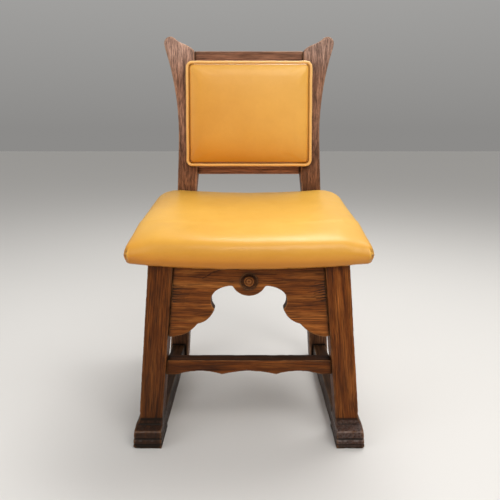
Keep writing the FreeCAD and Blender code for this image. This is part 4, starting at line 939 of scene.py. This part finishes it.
# Piping: a cord covered with a strip of the same leather, sewn into the front seam of the back pad all the
# way round. It wanders a little and is uneven in girth.
PIPING_STEPS, PIPING_SIDES = 560, 16
PIPING_WANDER, PIPING_WANDER_RUN = 0.00035, 0.030
PIPING_UNEVEN, PIPING_UNEVEN_RUN = 0.00018, 0.006
PIPING_PALE, PIPING_DEEP = (0.88, 0.50, 0.16), (0.78, 0.36, 0.068)
line, steps = evenly(back_outline(PIPING), PIPING_STEPS)
still = np.zeros(PIPING_STEPS)
ahead = np.roll(line, -1, axis=0) - np.roll(line, 1, axis=0)
ahead /= np.linalg.norm(ahead, axis=1)[:, None]
outward = np.column_stack([ahead[:, 1], -ahead[:, 0]])
wander = PIPING_WANDER * cloud(np.column_stack([steps / PIPING_WANDER_RUN, still, still]), 300)
line = line + outward * wander[:, None]
corners = []
for side in range(PIPING_SIDES):
    angle = 2 * math.pi * side / PIPING_SIDES
    knots = np.column_stack([steps / PIPING_UNEVEN_RUN, still + side * 0.4, still])
    girth = PIPING + PIPING_UNEVEN * cloud(knots, 301)
    off = girth * math.cos(angle)
    out = BOX_DEPTH + 0.0003 + PIPING + girth * math.sin(angle)
    corners.append(leaned(line[:, 0] + outward[:, 0] * off, line[:, 1] + outward[:, 1] * off, out))
corners = np.stack(corners, axis=1).reshape(-1, 3)
faces = []
for at in range(PIPING_STEPS):
    this, following = at * PIPING_SIDES, (at + 1) % PIPING_STEPS * PIPING_SIDES
    for side in range(PIPING_SIDES):
        beside = (side + 1) % PIPING_SIDES
        faces.append((this + side, this + beside, following + beside, following + side))
piping_mesh = bpy.data.meshes.new("leather_piping")
piping_mesh.from_pydata(corners.tolist(), [], faces)
shape = bmesh.new()
shape.from_mesh(piping_mesh)
bmesh.ops.recalc_face_normals(shape, faces=shape.faces)
shape.to_mesh(piping_mesh)
shape.free()
piping = in_room("leather_piping", piping_mesh)
points = points_of(piping_mesh)
across, up, out = flattened(points)
# Painted light and shade: paler towards the top and to the right.
keep(piping_mesh, "tone", 0.45 + 0.45 * (up - BACK_LOW) / (BACK_HIGH - BACK_LOW) + 0.10 * across / BACK_HALF)
# Painted shade on the piping's back, where it meets the pad.
keep(piping_mesh, "grime_and_shade", between(0.0298, 0.0266, out))
smooth(piping_mesh)
fitted(piping, leather("piping_leather", PIPING_PALE, PIPING_DEEP), "leather", "back_piping")


# Lining: a dark sheet of plain-woven cotton tacked over the rear of the back pad and stretched flat on its
# board. It puckers a little between the tacks.
LINING_THICK, LINING_THREAD, LINING_COLOUR = 0.0007, 0.0009, (0.040, 0.034, 0.029)
LINING_PUCKER = 0.0079
LINING_HALF, LINING_RISE = BACK_HALF - BOX_INSET, (BACK_HIGH - BACK_LOW) / 2 - BOX_INSET
spread = np.linspace(-1, 1, 89)
rows = []
for share in np.linspace(-1, 1, 73):
    into_corner = max(0.0, BACK_CORNER - (1 - abs(share)) * LINING_RISE)
    half = LINING_HALF - BACK_CORNER + math.sqrt(BACK_CORNER ** 2 - into_corner ** 2)
    across = spread * half
    up = np.full(len(across), (BACK_LOW + BACK_HIGH) / 2 + share * LINING_RISE)
    slack = (1 - share ** 2) * (1 - spread ** 2)
    puckers = (np.cos(across / LINING_PUCKER) * abs(share) ** 6
               + np.cos(share * LINING_RISE / LINING_PUCKER) * spread ** 6)
    creases = slack * cloud(np.column_stack([across / 0.060, up / 0.075, up * 0]), 501)
    rows.append(leaned(across, up, 0.0009 - 0.0012 * slack + 0.0002 * puckers + 0.0007 * creases))
count = len(spread)
faces = [(row * count + at, (row + 1) * count + at, (row + 1) * count + at + 1, row * count + at + 1)
         for row in range(len(rows) - 1) for at in range(count - 1)]
lining_mesh = bpy.data.meshes.new("cotton_lining")
lining_mesh.from_pydata(np.concatenate(rows).tolist(), [], [face[::-1] for face in faces])
lining = in_room("cotton_lining", lining_mesh)
cloth_wall = lining.modifiers.new("cloth_wall", "SOLIDIFY")
cloth_wall.thickness, cloth_wall.offset = LINING_THICK, 0
lining_mesh = settled(lining)
smooth(lining_mesh)


def cotton(name, colour, pitch):
    """Plain-woven cotton: two crossing sets of threads, with a little uneven dye."""
    finish = Finish(name)
    across, up = (finish.add("ShaderNodeTexWave", {
        "Vector": finish.place, "Scale": 0.314 / pitch, "Distortion": 0.6},
        bands_direction=way).outputs["Fac"] for way in ("X", "Z"))
    thin, full = (tuple(share * part for part in colour) for share in (0.55, 1.45))
    dye = ramp(finish.noise(40, 5), [(0.35, thin), (0.65, full)])
    feed(finish.shader, {"Base Color": dye, "Roughness": 0.9, "Sheen Weight": 0.25})
    finish.relief(finish.worked("MULTIPLY", across, up), 0.5, 0.0003)
    return finish.material


fitted(lining, cotton("black_cotton", LINING_COLOUR, LINING_THREAD), "lining", "back_lining")


# Tacks: domed steel heads on short pins. One row holds the seat's hem under its board, and another goes
# round the rear of the back pad to hold the lining.
TACK_HEAD, TACK_DOME, TACK_PIN, TACK_LENGTH = 0.0045, 0.0018, 0.0010, 0.0090
LINING_TACK_SHARE = 0.62
SEAT_TACK_HALF, SEAT_TACK_FRONT = 0.206, -0.2221
SEAT_TACK_RUN = (-0.1601, 0.1660)
FRONT_TACKS = [0.1456 * share for share in (-0.76, -0.38, 0.0, 0.38, 0.76)]
LINING_TACK_INSET, LINING_TACK_OUT = 0.0075, 0.0004
POST_INNER, PAD_TOP_EDGE, PAD_LOW_EDGE = 0.128, 0.79, 0.542


def worn_metal(name, colour, rough, scale):
    """Bare metal, duller in patches."""
    finish = Finish(name)
    patches = finish.noise(scale, 5)
    dull = tuple(0.6 * part for part in colour)
    feed(finish.shader, {"Base Color": ramp(patches, [(0.0, dull), (1.0, colour)]), "Metallic": 1.0,
                         "Roughness": ramp(patches, [(0.0, rough), (1.0, rough + 0.25)])})
    return finish.material


def tacked(name, places, turn, scale, metal):
    """One tack at each place, its head facing the way that turn turns +Z."""
    tree = bpy.data.node_groups.new(name, "GeometryNodeTree")
    tree.interface.new_socket("Places", in_out="INPUT", socket_type="NodeSocketGeometry")
    wanted = {"Head radius": TACK_HEAD * scale, "Dome": TACK_DOME * scale, "Pin radius": TACK_PIN * scale,
              "Pin length": TACK_LENGTH * scale}
    sockets = {label: tree.interface.new_socket(label, in_out="INPUT", socket_type="NodeSocketFloat")
               for label in wanted}
    tree.interface.new_socket("Tacks", in_out="OUTPUT", socket_type="NodeSocketGeometry")
    given = add(tree, "NodeGroupInput").outputs

    def worked(operation, first, second):
        return add(tree, "ShaderNodeMath", {0: first, 1: second}, operation=operation).outputs[0]

    ball = add(tree, "GeometryNodeMeshUVSphere", {
        "Segments": 16, "Rings": 10, "Radius": given["Head radius"]}).outputs["Mesh"]
    place = add(tree, "GeometryNodeInputPosition").outputs[0]
    where = add(tree, "ShaderNodeSeparateXYZ", {0: place}).outputs
    flat_share = worked("DIVIDE", given["Dome"], given["Head radius"])
    domed = add(tree, "ShaderNodeCombineXYZ", {
        "X": where["X"], "Y": where["Y"],
        "Z": worked("MULTIPLY", worked("MAXIMUM", where["Z"], 0.0), flat_share)}).outputs[0]
    head = add(tree, "GeometryNodeSetPosition", {"Geometry": ball, "Position": domed}).outputs[0]
    pin = add(tree, "GeometryNodeMeshCone", {
        "Vertices": 8, "Radius Top": worked("MULTIPLY", given["Pin radius"], 0.3),
        "Radius Bottom": given["Pin radius"], "Depth": given["Pin length"]}).outputs["Mesh"]
    downward = add(tree, "GeometryNodeTransform", {"Geometry": pin, "Rotation": (math.pi, 0, 0)}).outputs[0]
    tack = feed(add(tree, "GeometryNodeJoinGeometry", {0: head}), {0: downward}).outputs[0]
    copies = add(tree, "GeometryNodeInstanceOnPoints", {
        "Points": given["Places"], "Instance": tack, "Rotation": turn}).outputs[0]
    real = add(tree, "GeometryNodeRealizeInstances", {0: copies}).outputs[0]
    finished = add(tree, "GeometryNodeSetMaterial", {"Geometry": real, "Material": metal}).outputs[0]
    add(tree, "NodeGroupOutput", {"Tacks": finished})

    mesh = bpy.data.meshes.new(name)
    mesh.from_pydata(places, [], [])
    piece = in_room(name, mesh)
    driven = piece.modifiers.new("driven", "NODES")
    driven.node_group = tree
    for label, value in wanted.items():
        driven[sockets[label].identifier] = value
    settled(piece)
    return piece


steel = worn_metal("steel", (0.42, 0.41, 0.40), 0.34, 300)
runs = np.linspace(*SEAT_TACK_RUN, 7)[:-1]
places = [(sign * SEAT_TACK_HALF, along, SEAT_FLOOR - HEM) for sign in (-1, 1) for along in runs]
places += [(across, SEAT_TACK_FRONT, SEAT_FLOOR - HEM) for across in FRONT_TACKS]
hem_tacks = tacked("hem_tacks", places, (math.pi, 0, 0), 1.0, steel)
fitted(hem_tacks, steel, "steel", "seat_cover_tacks")
ring = back_outline(LINING_TACK_INSET)
places = [tuple(place) for place in leaned(*ring[::12].T, LINING_TACK_OUT)
          if abs(place[0]) < POST_INNER or place[2] > PAD_TOP_EDGE or place[2] < PAD_LOW_EDGE]
lining_tacks = tacked("lining_tacks", places, (-math.pi / 2 - RAKE, 0, 0), LINING_TACK_SHARE, steel)
fitted(lining_tacks, steel, "steel")


# Boards and screws: two plywood boards inside the pads, and the steel screws that hold the corner blocks in
# the seat frame, the seat pad from below and the back pad from behind.
PLY_TONES = [(0.30, 0.19, 0.10), (0.46, 0.32, 0.18), (0.58, 0.43, 0.27), (0.6, 0.46, 0.3)]
ply = timber("plywood", 0, PLY_TONES)
for node, material in (("corner_block_screws", steel), ("seat_fixing_screws", steel),
                       ("back_fixing_screws", steel), ("seat_board", ply), ("back_board", ply)):
    coloured(node, material)
